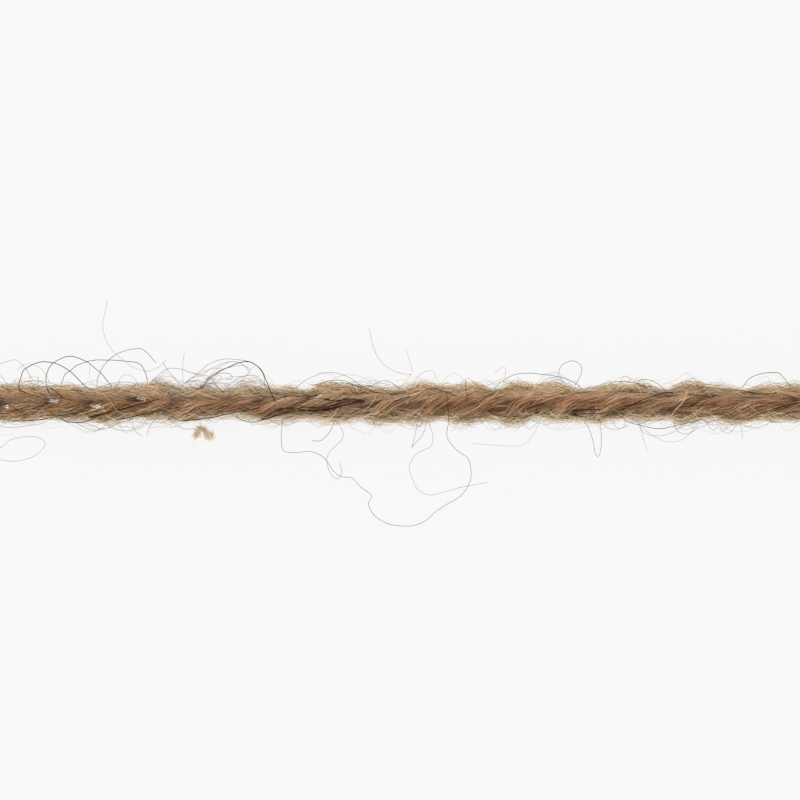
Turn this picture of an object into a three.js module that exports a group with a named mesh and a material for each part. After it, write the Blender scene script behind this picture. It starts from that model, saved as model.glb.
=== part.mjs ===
// A cut length of chained wool yarn, lying straight, with its loose guard hairs and a speck of lint.
// Millimetres. The strand runs along X, Z is up, and the origin is under its middle, on the resting face.
import * as THREE from 'three';
import { mergeVertices } from 'three/addons/utils/BufferGeometryUtils.js';

// Driving dimensions of the strand
const strandLength = 84;
const strandRadius = 1.68; // widest reach of a leg of the chain from the strand's axis
const coreRadius = 0.98; // bottom of the creases between the legs
const axisHeight = 1.3; // the underside is pressed flat, so the axis lies lower than the radius
const stitchPitch = 3.88; // from the tip of one V to the tip of the next
const ringStep = 0.45;
const ringSides = 24;
const flatSides = 2; // corners on each side of the lowest one that lie on the table

// Driving dimensions of what stands off the strand
const hairThickness = 0.14;
const hairSides = 3;
const hairStep = 0.42;
const archShoulder = 0.72; // share of an arch's reach at which its two shoulders lie
const leftShoulder = 0.12; // how far in from its root each shoulder lies, as a share of half the arch
const rightShoulder = 0.32;
const pieceGap = 0.3;
const floorGap = 0.05;

// One row for each stitch: where the tip of its V lies along the strand
const firstTip = -42.5;
const tipDrift = [
  0.0, 0.1, 0.0, 0.2, 0.1, 0.1, -0.4, 0.4, -0.7, 0.0, 0.1, 0.1,
  -0.4, 0.1, 0.9, 0.0, 0.4, 0.2, 0.1, 0.5, 0.0, 0.1, 0.0, 0.1,
];
const tips = tipDrift.map((drift, index) => firstTip + index * stitchPitch + drift);

// The chain turns about its own axis on its way: 0 has the Vs facing up, 90 has them facing +Y
const faceTurns = [
  { x: -44, turn: 0 },
  { x: -22, turn: 4 },
  { x: -13, turn: 30 },
  { x: -4, turn: 62 },
  { x: 14, turn: 74 },
  { x: 26, turn: 44 },
  { x: 36, turn: 12 },
  { x: 44, turn: 0 },
];

// The axis wanders a little from a straight line, and the strand is fuller in the middle
const swayRows = [
  { x: -44, sway: -0.05, girth: 0.98 },
  { x: -27, sway: 0.06, girth: 0.96 },
  { x: -12, sway: -0.04, girth: 0.99 },
  { x: 4, sway: -0.1, girth: 1.04 },
  { x: 18, sway: -0.06, girth: 1.02 },
  { x: 30, sway: 0.1, girth: 0.97 },
  { x: 44, sway: 0.02, girth: 0.95 },
];

// A leg of a stitch, from the tip of its V (along 0) to the bend behind the strand (along 1.72):
// its direction about the axis, its distance from the axis and its own radius
const legRows = [
  { along: -0.1, around: 5, centre: 0.2, radius: 0.3 },
  { along: 0.15, around: 12, centre: 0.62, radius: 0.46 },
  { along: 0.4, around: 22, centre: 0.84, radius: 0.62 },
  { along: 0.7, around: 34, centre: 0.88, radius: 0.74 },
  { along: 1.0, around: 48, centre: 0.9, radius: 0.78 },
  { along: 1.25, around: 70, centre: 0.9, radius: 0.76 },
  { along: 1.5, around: 105, centre: 0.82, radius: 0.7 },
  { along: 1.72, around: 160, centre: 0.5, radius: 0.55 },
];

// The run behind the chain that joins one stitch to the next
const backRows = [
  { along: -0.1, around: 196, centre: 0.6, radius: 0.62 },
  { along: 0.25, around: 186, centre: 0.84, radius: 0.68 },
  { along: 0.7, around: 170, centre: 0.84, radius: 0.68 },
  { along: 1.05, around: 156, centre: 0.6, radius: 0.62 },
];

// Hairs that arch out of one side of the strand and back into it, with their place along X
const archRows = [
  { name: 'a', from: -33.3, to: -28.2, reach: 3.6, lean: -1.2, height: 1.4, side: 1 },
  { name: 'b', from: -31.3, to: -25.8, reach: 4.15, lean: -0.7, height: 1.95, side: 1 },
  { name: 'c', from: -30.0, to: -22.4, reach: 3.8, lean: 0.2, height: 0.85, side: 1 },
  { name: 'd', from: -26.8, to: -20.9, reach: 4.8, lean: 0.3, height: 2.5, side: 1 },
  { name: 'g', from: -17.6, to: -11.4, reach: 3.6, lean: 1.0, height: 1.6, side: 1 },
  { name: 'h', from: -19.2, to: -12.0, reach: 3.85, lean: -0.6, height: 1.0, side: 1 },
  { name: 'n', from: 8.6, to: 16.2, reach: 2.6, lean: -0.4, height: 1.4, side: 1 },
  { name: 'o', from: 14.1, to: 15.7, reach: 3.7, lean: 0.3, height: 0.8, side: 1 },
  { name: 'p', from: 16.2, to: 17.9, reach: 4.75, lean: 0.2, height: 1.0, side: -1 },
  { name: 'q', from: 30.4, to: 34.6, reach: 2.75, lean: 0.3, height: 1.4, side: 1 },
  { name: 'r', from: 19.6, to: 26.8, reach: 2.3, lean: 0.0, height: 1.2, side: -1 },
];

// Longer hairs by hand: the places that they pass, from the end in the strand
const longHairs = [
  {
    name: 'e', // stands out highest above the strand and ends free
    places: [[-20.9, 2.0, 1.7], [-22.5, 2.7, 1.5], [-24.7, 3.6, 1.4], [-26.1, 5.4, 1.4], [-26.2, 9.0, 1.6]],
  },
  {
    name: 'm',
    places: [[0.5, 2.0, 1.5], [-0.6, 2.8, 1.6], [-2.2, 4.4, 1.7], [-2.6, 6.9, 1.9]],
  },
  {
    name: 'f', // a flat loop near the end
    places: [
      [-37.6, -2.0, 1.2], [-36.9, -3.3, 0.7], [-35.2, -3.55, 0.4], [-32.9, -3.0, 0.3],
      [-31.6, -3.5, 0.3], [-32.6, -4.7, 0.3], [-34.8, -5.3, 0.3], [-37.4, -4.4, 0.3],
      [-39.0, -2.6, 0.7], [-39.2, -2.0, 1.0],
    ],
  },
  {
    name: 'i', // the great loop that lies on the table
    places: [
      [-10.4, -2.0, 1.2], [-10.6, -3.9, 0.5], [-9.2, -4.4, 0.15], [-7.2, -4.75, 0.15],
      [-5.6, -6.5, 0.15], [-3.4, -7.4, 0.15], [-2.6, -8.8, 0.15], [-1.6, -10.4, 0.15],
      [0.6, -11.0, 0.15], [2.9, -10.2, 0.15], [4.4, -8.6, 0.15], [6.1, -7.5, 0.15],
      [6.3, -5.5, 0.15], [4.9, -4.1, 0.3], [4.1, -2.9, 0.8], [4.2, -2.0, 1.3],
    ],
  },
  {
    name: 'j', // a lighter loop inside the great one
    places: [
      [2.8, -2.0, 1.3], [2.9, -3.4, 1.0], [1.2, -4.7, 0.75], [0.9, -6.0, 0.65],
      [1.7, -7.6, 0.65], [3.5, -8.1, 0.65], [5.6, -7.4, 0.65], [7.6, -7.2, 0.65],
    ],
  },
  {
    name: 'k',
    places: [
      [-5.6, -2.0, 1.2], [-5.1, -2.9, 1.0], [-6.2, -4.1, 0.75], [-6.4, -5.4, 0.7],
      [-5.6, -6.7, 0.7], [-5.3, -5.9, 0.7],
    ],
  },
];

// The speck of lint under the strand's edge: lumps that melt into one another
const lintLumps = [
  { x: -17.95, y: -2.5, z: 0.75, radius: 0.42 },
  { x: -17.35, y: -2.62, z: 0.6, radius: 0.4 },
  { x: -17.2, y: -3.05, z: 0.5, radius: 0.46 },
  { x: -18.2, y: -2.95, z: 0.55, radius: 0.3 },
];
const lintCentre = { x: -17.55, y: -2.75, z: 0.62 };
const lintDetail = 16;

const yarnMaterial = new THREE.MeshStandardMaterial({ color: 0x8a6a4c, roughness: 0.95, metalness: 0 });
const hairMaterial = new THREE.MeshStandardMaterial({ color: 0x2a211c, roughness: 0.6, metalness: 0 });
const lintMaterial = new THREE.MeshStandardMaterial({ color: 0xd2bb96, roughness: 1, metalness: 0 });

const radians = THREE.MathUtils.degToRad;

// Value of one column of a table, eased between the rows on each side of a place
function readRows(rows, placeName, place, valueName) {
  const last = rows.length - 1;
  if (place <= rows[0][placeName]) return rows[0][valueName];
  if (place >= rows[last][placeName]) return rows[last][valueName];
  const after = rows.findIndex((row) => row[placeName] > place);
  const [start, end] = [rows[after - 1], rows[after]];
  const share = (place - start[placeName]) / (end[placeName] - start[placeName]);
  return THREE.MathUtils.lerp(start[valueName], end[valueName], share * share * (3 - 2 * share));
}

// How far a round run of yarn reaches from the axis in a direction that is off by turn
function reachOfRun(centre, radius, turn) {
  const sideways = centre * Math.sin(turn);
  if (Math.cos(turn) < 0 || Math.abs(sideways) >= radius) return 0;
  return centre * Math.cos(turn) + Math.sqrt(radius * radius - sideways * sideways);
}

// Every run of yarn that crosses the strand at x: its direction about the axis, place and size
function runsAt(x) {
  const runs = [];
  const face = readRows(faceTurns, 'x', x, 'turn');
  const add = (rows, along, mirror) => {
    if (along < rows[0].along || along > rows[rows.length - 1].along) return;
    const around = mirror * readRows(rows, 'along', along, 'around') + face;
    const [centre, radius] = ['centre', 'radius'].map((name) => readRows(rows, 'along', along, name));
    runs.push({ around: radians(around), centre, radius });
  };
  for (const tip of tips) {
    const along = (tip - x) / stitchPitch;
    add(legRows, along, 1);
    add(legRows, along, -1);
    add(backRows, along, 1);
  }
  return runs;
}

// Closes a row of rings of points into one body, with a flat cap at each end. Each patch is split
// along its shorter diagonal, which follows the creases.
function bodyFromRings(rings) {
  const corners = [];
  const faces = [];
  const sides = rings[0].length;
  rings.forEach((ring) => ring.forEach((corner) => corners.push(corner.x, corner.y, corner.z)));
  for (let ring = 0; ring < rings.length - 1; ring += 1) {
    for (let side = 0; side < sides; side += 1) {
      const beside = (side + 1) % sides;
      const here = ring * sides + side;
      const next = ring * sides + beside;
      const rising = rings[ring][side].distanceTo(rings[ring + 1][beside]);
      const falling = rings[ring][beside].distanceTo(rings[ring + 1][side]);
      if (rising < falling) faces.push(here, next, next + sides, here, next + sides, here + sides);
      else faces.push(here, next, here + sides, next, next + sides, here + sides);
    }
  }
  [0, rings.length - 1].forEach((ring) => {
    const middle = rings[ring].reduce((sum, corner) => sum.add(corner), new THREE.Vector3());
    middle.divideScalar(sides);
    const centre = corners.length / 3;
    corners.push(middle.x, middle.y, middle.z);
    for (let side = 0; side < sides; side += 1) {
      const here = ring * sides + side;
      const next = ring * sides + ((side + 1) % sides);
      if (ring === 0) faces.push(centre, next, here);
      else faces.push(centre, here, next);
    }
  });
  const geometry = new THREE.BufferGeometry();
  geometry.setAttribute('position', new THREE.Float32BufferAttribute(corners, 3));
  geometry.setIndex(faces);
  geometry.computeVertexNormals();
  return geometry;
}

// The chained body: rings across the strand, whose corners stand where the legs of the chain reach
function makeStrand() {
  const stations = Math.round(strandLength / ringStep);
  const sideTurn = (2 * Math.PI) / ringSides;
  const rings = [];
  for (let station = 0; station <= stations; station += 1) {
    const x = -strandLength / 2 + (strandLength * station) / stations;
    const [sway, girth] = ['sway', 'girth'].map((name) => readRows(swayRows, 'x', x, name));
    const runs = runsAt(x);
    const ring = [];
    for (let side = 0; side < ringSides; side += 1) {
      const fromDown = side * sideTurn; // 0 is straight down, a quarter turn is +Y
      const direction = Math.PI - fromDown; // the same, from straight up towards +Y
      const reaches = runs.map((run) => reachOfRun(run.centre, run.radius, direction - run.around));
      const onTable = side <= flatSides || side >= ringSides - flatSides;
      const table = axisHeight / Math.cos(fromDown);
      const outline = Math.min(Math.max(coreRadius, ...reaches), strandRadius) * girth;
      const reach = onTable ? table : outline;
      const height = Math.max(0, axisHeight - reach * Math.cos(fromDown));
      ring.push(new THREE.Vector3(x, sway + reach * Math.sin(fromDown), onTable ? 0 : height));
    }
    rings.push(ring);
  }
  return bodyFromRings(rings);
}

// Distance from the strand's middle line to its side at a height, with the gap between pieces
function sideAt(height) {
  const rise = height - axisHeight;
  return Math.sqrt(strandRadius * strandRadius - rise * rise) + pieceGap;
}

function archPlaces({ from, to, reach, lean, height, side }) {
  const middle = (from + to) / 2 + lean;
  const root = sideAt(height);
  const shoulder = THREE.MathUtils.lerp(root, reach, archShoulder);
  return [
    [from, side * root, height],
    [THREE.MathUtils.lerp(from, middle, leftShoulder), side * shoulder, height],
    [middle, side * reach, height],
    [THREE.MathUtils.lerp(to, middle, rightShoulder), side * shoulder, height],
    [to, side * root, height],
  ];
}

// A hair is a thin closed tube through its places
function makeHair(places) {
  const curve = new THREE.CatmullRomCurve3(places.map((place) => new THREE.Vector3(...place)));
  const steps = Math.max(6, Math.round(curve.getLength() / hairStep));
  const section = new THREE.Shape();
  for (let corner = 0; corner < hairSides; corner += 1) {
    const turn = (2 * Math.PI * corner) / hairSides;
    const point = [Math.cos(turn), Math.sin(turn)].map((part) => (part * hairThickness) / 2);
    if (corner === 0) section.moveTo(...point);
    else section.lineTo(...point);
  }
  section.closePath();
  return new THREE.ExtrudeGeometry(section, { steps, bevelEnabled: false, extrudePath: curve });
}

// The lint is a ball whose skin is pushed out over the lumps
function makeLint() {
  const ball = new THREE.SphereGeometry(1, lintDetail, lintDetail / 2);
  ball.deleteAttribute('normal');
  ball.deleteAttribute('uv');
  const geometry = mergeVertices(ball, 1e-4);
  const corners = geometry.attributes.position;
  const out = new THREE.Vector3();
  const centre = new THREE.Vector3(lintCentre.x, lintCentre.y, lintCentre.z);
  for (let index = 0; index < corners.count; index += 1) {
    out.fromBufferAttribute(corners, index).normalize();
    let reach = lintLumps[0].radius / 2;
    for (const lump of lintLumps) {
      const toLump = new THREE.Vector3(lump.x, lump.y, lump.z).sub(centre);
      const ahead = toLump.dot(out);
      const aside = Math.sqrt(Math.max(0, toLump.lengthSq() - ahead * ahead));
      if (aside < lump.radius) reach = Math.max(reach, ahead + Math.sqrt(lump.radius ** 2 - aside ** 2));
    }
    out.multiplyScalar(reach).add(centre);
    corners.setXYZ(index, out.x, out.y, Math.max(out.z, floorGap));
  }
  geometry.computeVertexNormals();
  return geometry;
}

function addPiece(group, name, geometry, material) {
  const mesh = new THREE.Mesh(geometry, material.clone());
  mesh.name = name;
  group.add(mesh);
}

const yarn = new THREE.Group();
addPiece(yarn, 'yarn_strand', makeStrand(), yarnMaterial);
for (const row of archRows) addPiece(yarn, `guard_hair_${row.name}`, makeHair(archPlaces(row)), hairMaterial);
for (const hair of longHairs) addPiece(yarn, `guard_hair_${hair.name}`, makeHair(hair.places), hairMaterial);
addPiece(yarn, 'lint_speck', makeLint(), lintMaterial);

export default yarn;
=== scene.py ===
import math
import bmesh
import bpy
import numpy as np
from mathutils import Matrix, Vector, noise
from mathutils.bvhtree import BVHTree


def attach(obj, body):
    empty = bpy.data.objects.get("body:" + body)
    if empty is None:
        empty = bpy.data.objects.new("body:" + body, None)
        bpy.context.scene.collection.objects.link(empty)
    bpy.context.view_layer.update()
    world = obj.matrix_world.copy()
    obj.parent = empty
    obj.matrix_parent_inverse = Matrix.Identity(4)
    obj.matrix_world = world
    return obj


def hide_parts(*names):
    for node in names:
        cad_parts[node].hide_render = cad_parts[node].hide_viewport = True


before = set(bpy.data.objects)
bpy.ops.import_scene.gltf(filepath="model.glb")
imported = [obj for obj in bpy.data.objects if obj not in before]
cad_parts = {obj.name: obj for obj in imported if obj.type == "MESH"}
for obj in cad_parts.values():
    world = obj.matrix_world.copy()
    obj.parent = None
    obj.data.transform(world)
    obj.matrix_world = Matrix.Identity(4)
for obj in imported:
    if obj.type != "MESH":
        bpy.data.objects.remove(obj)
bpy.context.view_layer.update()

mm = 0.001
body = "root"

# The sizes of the chain, in mm. They are the ones that the solid was made from.
chain = {
    "length": 84.0,
    "width": 3.3,
    "reach": 1.68,  # widest reach of a leg from the axis
    "core": 0.98,  # bottom of the creases between the legs
    "axisHeight": 1.3,  # pressed flat underneath, so the axis is lower than the reach
    "flatTurn": 30.0,  # degrees to each side of straight down that lie on the table
    "pitch": 3.88,  # from the tip of one V to the tip of the next
    "firstTip": -42.5,
    "tipDrift": [0.0, 0.1, 0.0, 0.2, 0.1, 0.1, -0.4, 0.4, -0.7, 0.0, 0.1, 0.1,
                 -0.4, 0.1, 0.9, 0.0, 0.4, 0.2, 0.1, 0.5, 0.0, 0.1, 0.0, 0.1],
}

# x, and how far the Vs are turned from facing up towards +Y
faceTurns = [(-44, 0), (-22, 4), (-13, 30), (-4, 62), (14, 74), (26, 44), (36, 12), (44, 0)]

# x, how far the axis is off a straight line, and how full the strand is
swayRows = [(-44, -0.05, 0.98), (-27, 0.06, 0.96), (-12, -0.04, 0.99), (4, -0.1, 1.04),
            (18, -0.06, 1.02), (30, 0.1, 0.97), (44, 0.02, 0.95)]

# a leg of a stitch: pitches from the tip of its V, degrees about the axis, distance from it, radius
legRows = [(-0.1, 5, 0.2, 0.3), (0.15, 12, 0.62, 0.46), (0.4, 22, 0.84, 0.62), (0.7, 34, 0.88, 0.74),
           (1.0, 48, 0.9, 0.78), (1.25, 70, 0.9, 0.76), (1.5, 105, 0.82, 0.7), (1.72, 160, 0.5, 0.55)]
backRows = [(-0.1, 196, 0.6, 0.62), (0.25, 186, 0.84, 0.68), (0.7, 170, 0.84, 0.68), (1.05, 156, 0.6, 0.62)]

# the outline of the dense wool seen from above: x, and how far it reaches towards +Y and towards -Y
upperEdge = [
    (-44, 1.35), (-34.5, 1.35), (-32.2, 1.47), (-31.0, 1.3), (-29.8, 1.4), (-27.6, 1.1), (-24.5, 1.38),
    (-21.8, 1.62), (-19.2, 1.05), (-17.0, 1.2), (-15.8, 0.85), (-13.8, 1.28), (-11.2, 1.12), (-9.6, 1.17),
    (-8.3, 0.95), (-6.9, 1.62), (-4.0, 1.4), (-0.4, 1.15), (1.8, 1.6), (4.2, 1.38), (6.8, 1.55),
    (8.2, 1.15), (10.3, 1.62), (12.0, 1.5), (13.6, 1.62), (16.1, 1.08), (19.8, 1.6), (21.5, 1.5),
    (23.4, 1.0), (26.2, 1.75), (28.2, 1.38), (30.3, 1.12), (33.0, 1.45), (44, 1.4),
]
lowerEdge = [
    (-44, 1.45), (-33.6, 1.5), (-30.8, 1.33), (-28.8, 1.45), (-27.6, 1.4), (-26.1, 1.65), (-23.4, 1.3),
    (-19.0, 1.55), (-15.2, 1.1), (-10.6, 1.62), (-8.6, 1.3), (-6.4, 1.6), (-4.9, 1.58), (-3.9, 1.33),
    (-2.2, 1.72), (0.0, 1.6), (1.8, 1.7), (3.7, 1.4), (5.1, 1.82), (7.8, 1.55), (9.9, 1.9), (12.2, 1.35),
    (14.2, 1.65), (15.9, 1.5), (17.6, 1.67), (19.7, 1.3), (21.8, 1.5), (23.9, 1.38), (25.0, 1.7),
    (27.0, 1.4), (29.6, 1.67), (32.5, 1.4), (44, 1.45),
]

# the places where one can look through the chain: x, y, half length, half width
eyelets = [(-38.9, 0.1, 0.26, 0.2), (-35.0, -0.38, 0.28, 0.22), (-30.72, 0.14, 0.36, 0.3),
           (-27.0, -0.32, 0.42, 0.28), (-22.95, 0.26, 0.36, 0.24), (-7.1, 0.66, 0.2, 0.14)]

# hollows among the legs, dented and darkened with painted shade: x, y, half length, half width, how dark
pits = [
    (-39.4, 0.2, 0.8, 0.4, 0.6), (-35.8, -0.3, 0.8, 0.35, 0.6), (-30.6, 0.6, 0.8, 0.45, 0.8),
    (-30.0, -0.35, 2.2, 0.25, 0.4), (-27.8, -0.05, 0.8, 0.3, 0.8), (-23.5, 0.3, 0.5, 0.25, 0.9),
    (-19.9, 0.0, 0.6, 0.35, 0.5), (-15.0, 0.35, 0.5, 0.25, 0.7), (-15.0, -0.15, 0.5, 0.3, 0.4),
    (-12.3, -0.05, 0.5, 0.3, 1.0), (-7.6, 0.75, 0.4, 0.2, 1.0), (-8.1, 0.1, 0.8, 0.25, 0.5),
    (-6.4, -0.8, 1.3, 0.35, 0.6), (-4.0, 0.15, 1.2, 0.25, 0.9), (0.25, 0.85, 0.5, 0.2, 0.8),
    (0.0, 0.2, 0.8, 0.2, 0.5), (0.4, -0.3, 0.6, 0.3, 0.5), (3.5, 0.2, 0.4, 0.2, 0.8),
    (3.7, -0.35, 0.7, 0.45, 0.6), (8.6, -0.65, 1.2, 0.2, 0.7), (9.8, 0.1, 1.4, 0.6, 0.3),
    (12.0, -0.6, 0.6, 0.2, 0.7), (15.6, -0.75, 0.9, 0.35, 1.0), (15.5, 0.2, 0.7, 0.25, 0.6),
    (19.9, 0.2, 0.35, 0.3, 1.0), (20.7, 0.9, 0.9, 0.12, 0.6), (23.5, 0.95, 0.5, 0.2, 1.0),
    (23.9, -0.6, 0.8, 0.3, 0.9), (26.0, -0.15, 1.8, 0.2, 0.6), (27.3, 0.4, 0.7, 0.3, 0.7),
    (28.6, -1.0, 0.8, 0.15, 0.7), (31.6, 1.0, 0.5, 0.2, 0.6), (31.7, 0.0, 1.0, 0.3, 0.4),
    (31.6, -0.85, 0.45, 0.25, 0.8), (35.0, 0.2, 0.35, 0.25, 1.0), (34.5, -0.3, 0.8, 0.15, 0.6),
    (39.1, 0.1, 0.7, 0.3, 0.7),
]

tips = [chain["firstTip"] + index * chain["pitch"] + drift for index, drift in enumerate(chain["tipDrift"])]


def readRow(rows, place, column):  # eased between the rows on each side of a place
    if place <= rows[0][0]:
        return rows[0][column]
    for start, end in zip(rows, rows[1:]):
        if place < end[0]:
            share = (place - start[0]) / (end[0] - start[0])
            return start[column] + (end[column] - start[column]) * share * share * (3 - 2 * share)
    return rows[-1][column]


# camera

view = {
    "width": 71.1,  # mm across the frame
    "lens": 200.0,  # mm
    "sensor": 36.0,  # mm
    "aim": (0.0, 0.24, 1.3),  # mm
    "clipStart": 0.01,  # m
}


def makeCamera():
    data = bpy.data.cameras.new("camera")
    data.lens = view["lens"]
    data.sensor_width = view["sensor"]
    data.clip_start = view["clipStart"]
    camera = bpy.data.objects.new("camera", data)
    distance = view["width"] * view["lens"] / view["sensor"]
    camera.location = (Vector(view["aim"]) + Vector((0, 0, distance))) * mm
    bpy.context.collection.objects.link(camera)
    bpy.context.scene.camera = camera


# helpers for node trees

nodeGrid = {"rows": 8, "across": 220, "down": 200}  # how the nodes are spread out in the editor
tubeSides = 3  # every fibre and hair is a thin tube with three sides


def addNode(tree, kind, **settings):
    node = tree.nodes.new(kind)
    for name, value in settings.items():
        setattr(node, name, value)
    column, row = divmod(len(tree.nodes), nodeGrid["rows"])
    node.location = (column * nodeGrid["across"], -row * nodeGrid["down"])
    return node


def feed(tree, socket, value):
    if isinstance(value, bpy.types.NodeSocket):
        tree.links.new(value, socket)
    else:
        socket.default_value = value


def calc(tree, operation, *values):
    node = addNode(tree, "ShaderNodeMath", operation=operation)
    for socket, value in zip(node.inputs, values):
        feed(tree, socket, value)
    return node.outputs[0]


def vectorCalc(tree, operation, *values):
    node = addNode(tree, "ShaderNodeVectorMath", operation=operation)
    for socket, value in zip(node.inputs, values):
        feed(tree, socket, value)
    return node.outputs["Value" if operation == "DOT_PRODUCT" else "Vector"]


def scaled(tree, vector, factor):
    node = addNode(tree, "ShaderNodeVectorMath", operation="SCALE")
    feed(tree, node.inputs[0], vector)
    feed(tree, node.inputs["Scale"], factor)
    return node.outputs["Vector"]


def newTree(name, inputs):
    tree = bpy.data.node_groups.new(name, "GeometryNodeTree")
    tree.interface.new_socket("Geometry", in_out="INPUT", socket_type="NodeSocketGeometry")
    for label, kind in inputs:
        tree.interface.new_socket(label, in_out="INPUT", socket_type="NodeSocket" + kind)
    tree.interface.new_socket("Geometry", in_out="OUTPUT", socket_type="NodeSocketGeometry")
    return tree, addNode(tree, "NodeGroupInput").outputs


def closeTree(tree, curve, scale, material):  # thin closed tubes on the curve's lines
    ring = addNode(tree, "GeometryNodeCurvePrimitiveCircle")
    ring.inputs["Resolution"].default_value = tubeSides
    ring.inputs["Radius"].default_value = 0.5  # so that the scale is the tube's thickness
    tube = addNode(tree, "GeometryNodeCurveToMesh")
    feed(tree, tube.inputs["Curve"], curve)
    feed(tree, tube.inputs["Profile Curve"], ring.outputs["Curve"])
    feed(tree, tube.inputs["Scale"], scale)
    tube.inputs["Fill Caps"].default_value = True
    smooth = addNode(tree, "GeometryNodeSetShadeSmooth")
    feed(tree, smooth.inputs["Geometry"], tube.outputs["Mesh"])
    real = addNode(tree, "GeometryNodeRealizeInstances")
    feed(tree, real.inputs["Geometry"], smooth.outputs["Geometry"])
    finish = addNode(tree, "GeometryNodeSetMaterial")
    feed(tree, finish.inputs["Geometry"], real.outputs["Geometry"])
    feed(tree, finish.inputs["Material"], material)
    feed(tree, addNode(tree, "NodeGroupOutput").inputs["Geometry"], finish.outputs["Geometry"])


def makeHost(name, routes, labels):  # lines of edges that a tree grows along, with values at their points
    rows = [row for route in routes for row in route]
    edges = []
    first = 0
    for route in routes:
        edges += [(first + step, first + step + 1) for step in range(len(route) - 1)]
        first += len(route)
    mesh = bpy.data.meshes.new(name)
    mesh.from_pydata([row["place"] * mm for row in rows], edges, [])
    for label in labels:
        if label == "outward":
            layer = mesh.attributes.new(label, "FLOAT_VECTOR", "POINT")
            layer.data.foreach_set("vector", [part for row in rows for part in row[label]])
        else:
            layer = mesh.attributes.new(label, "FLOAT", "POINT")
            layer.data.foreach_set("value", [row[label] for row in rows])
    host = bpy.data.objects.new(name, mesh)
    bpy.context.collection.objects.link(host)
    return host


def grow(host, tree, values):  # runs the tree on its host and leaves a plain mesh
    modifier = host.modifiers.new("grow", "NODES")
    modifier.node_group = tree
    for item in tree.interface.items_tree:
        if item.in_out == "INPUT" and item.name in values:
            modifier[item.identifier] = values[item.name]
    graph = bpy.context.evaluated_depsgraph_get()
    grown = bpy.data.meshes.new_from_object(
        host.evaluated_get(graph), preserve_all_data_layers=True, depsgraph=graph)
    host.modifiers.remove(modifier)
    host.data = grown
    grown.name = host.name
    return host


# the tree that lays fibres along routes

fibreShape = {
    "tipPower": 3.0,  # a higher one keeps the lift and the thinning nearer to the tip
    "thinnest": 0.7,  # of the layer's thickness
    "thickest": 1.3,
    "aboveTable": 0.65,  # of its thickness, where it is stopped
    "noiseGain": 4.0,  # a noise swings about a quarter to each side of its middle
    "noiseShift": 90.0,  # so that every fibre wanders its own way
}


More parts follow.
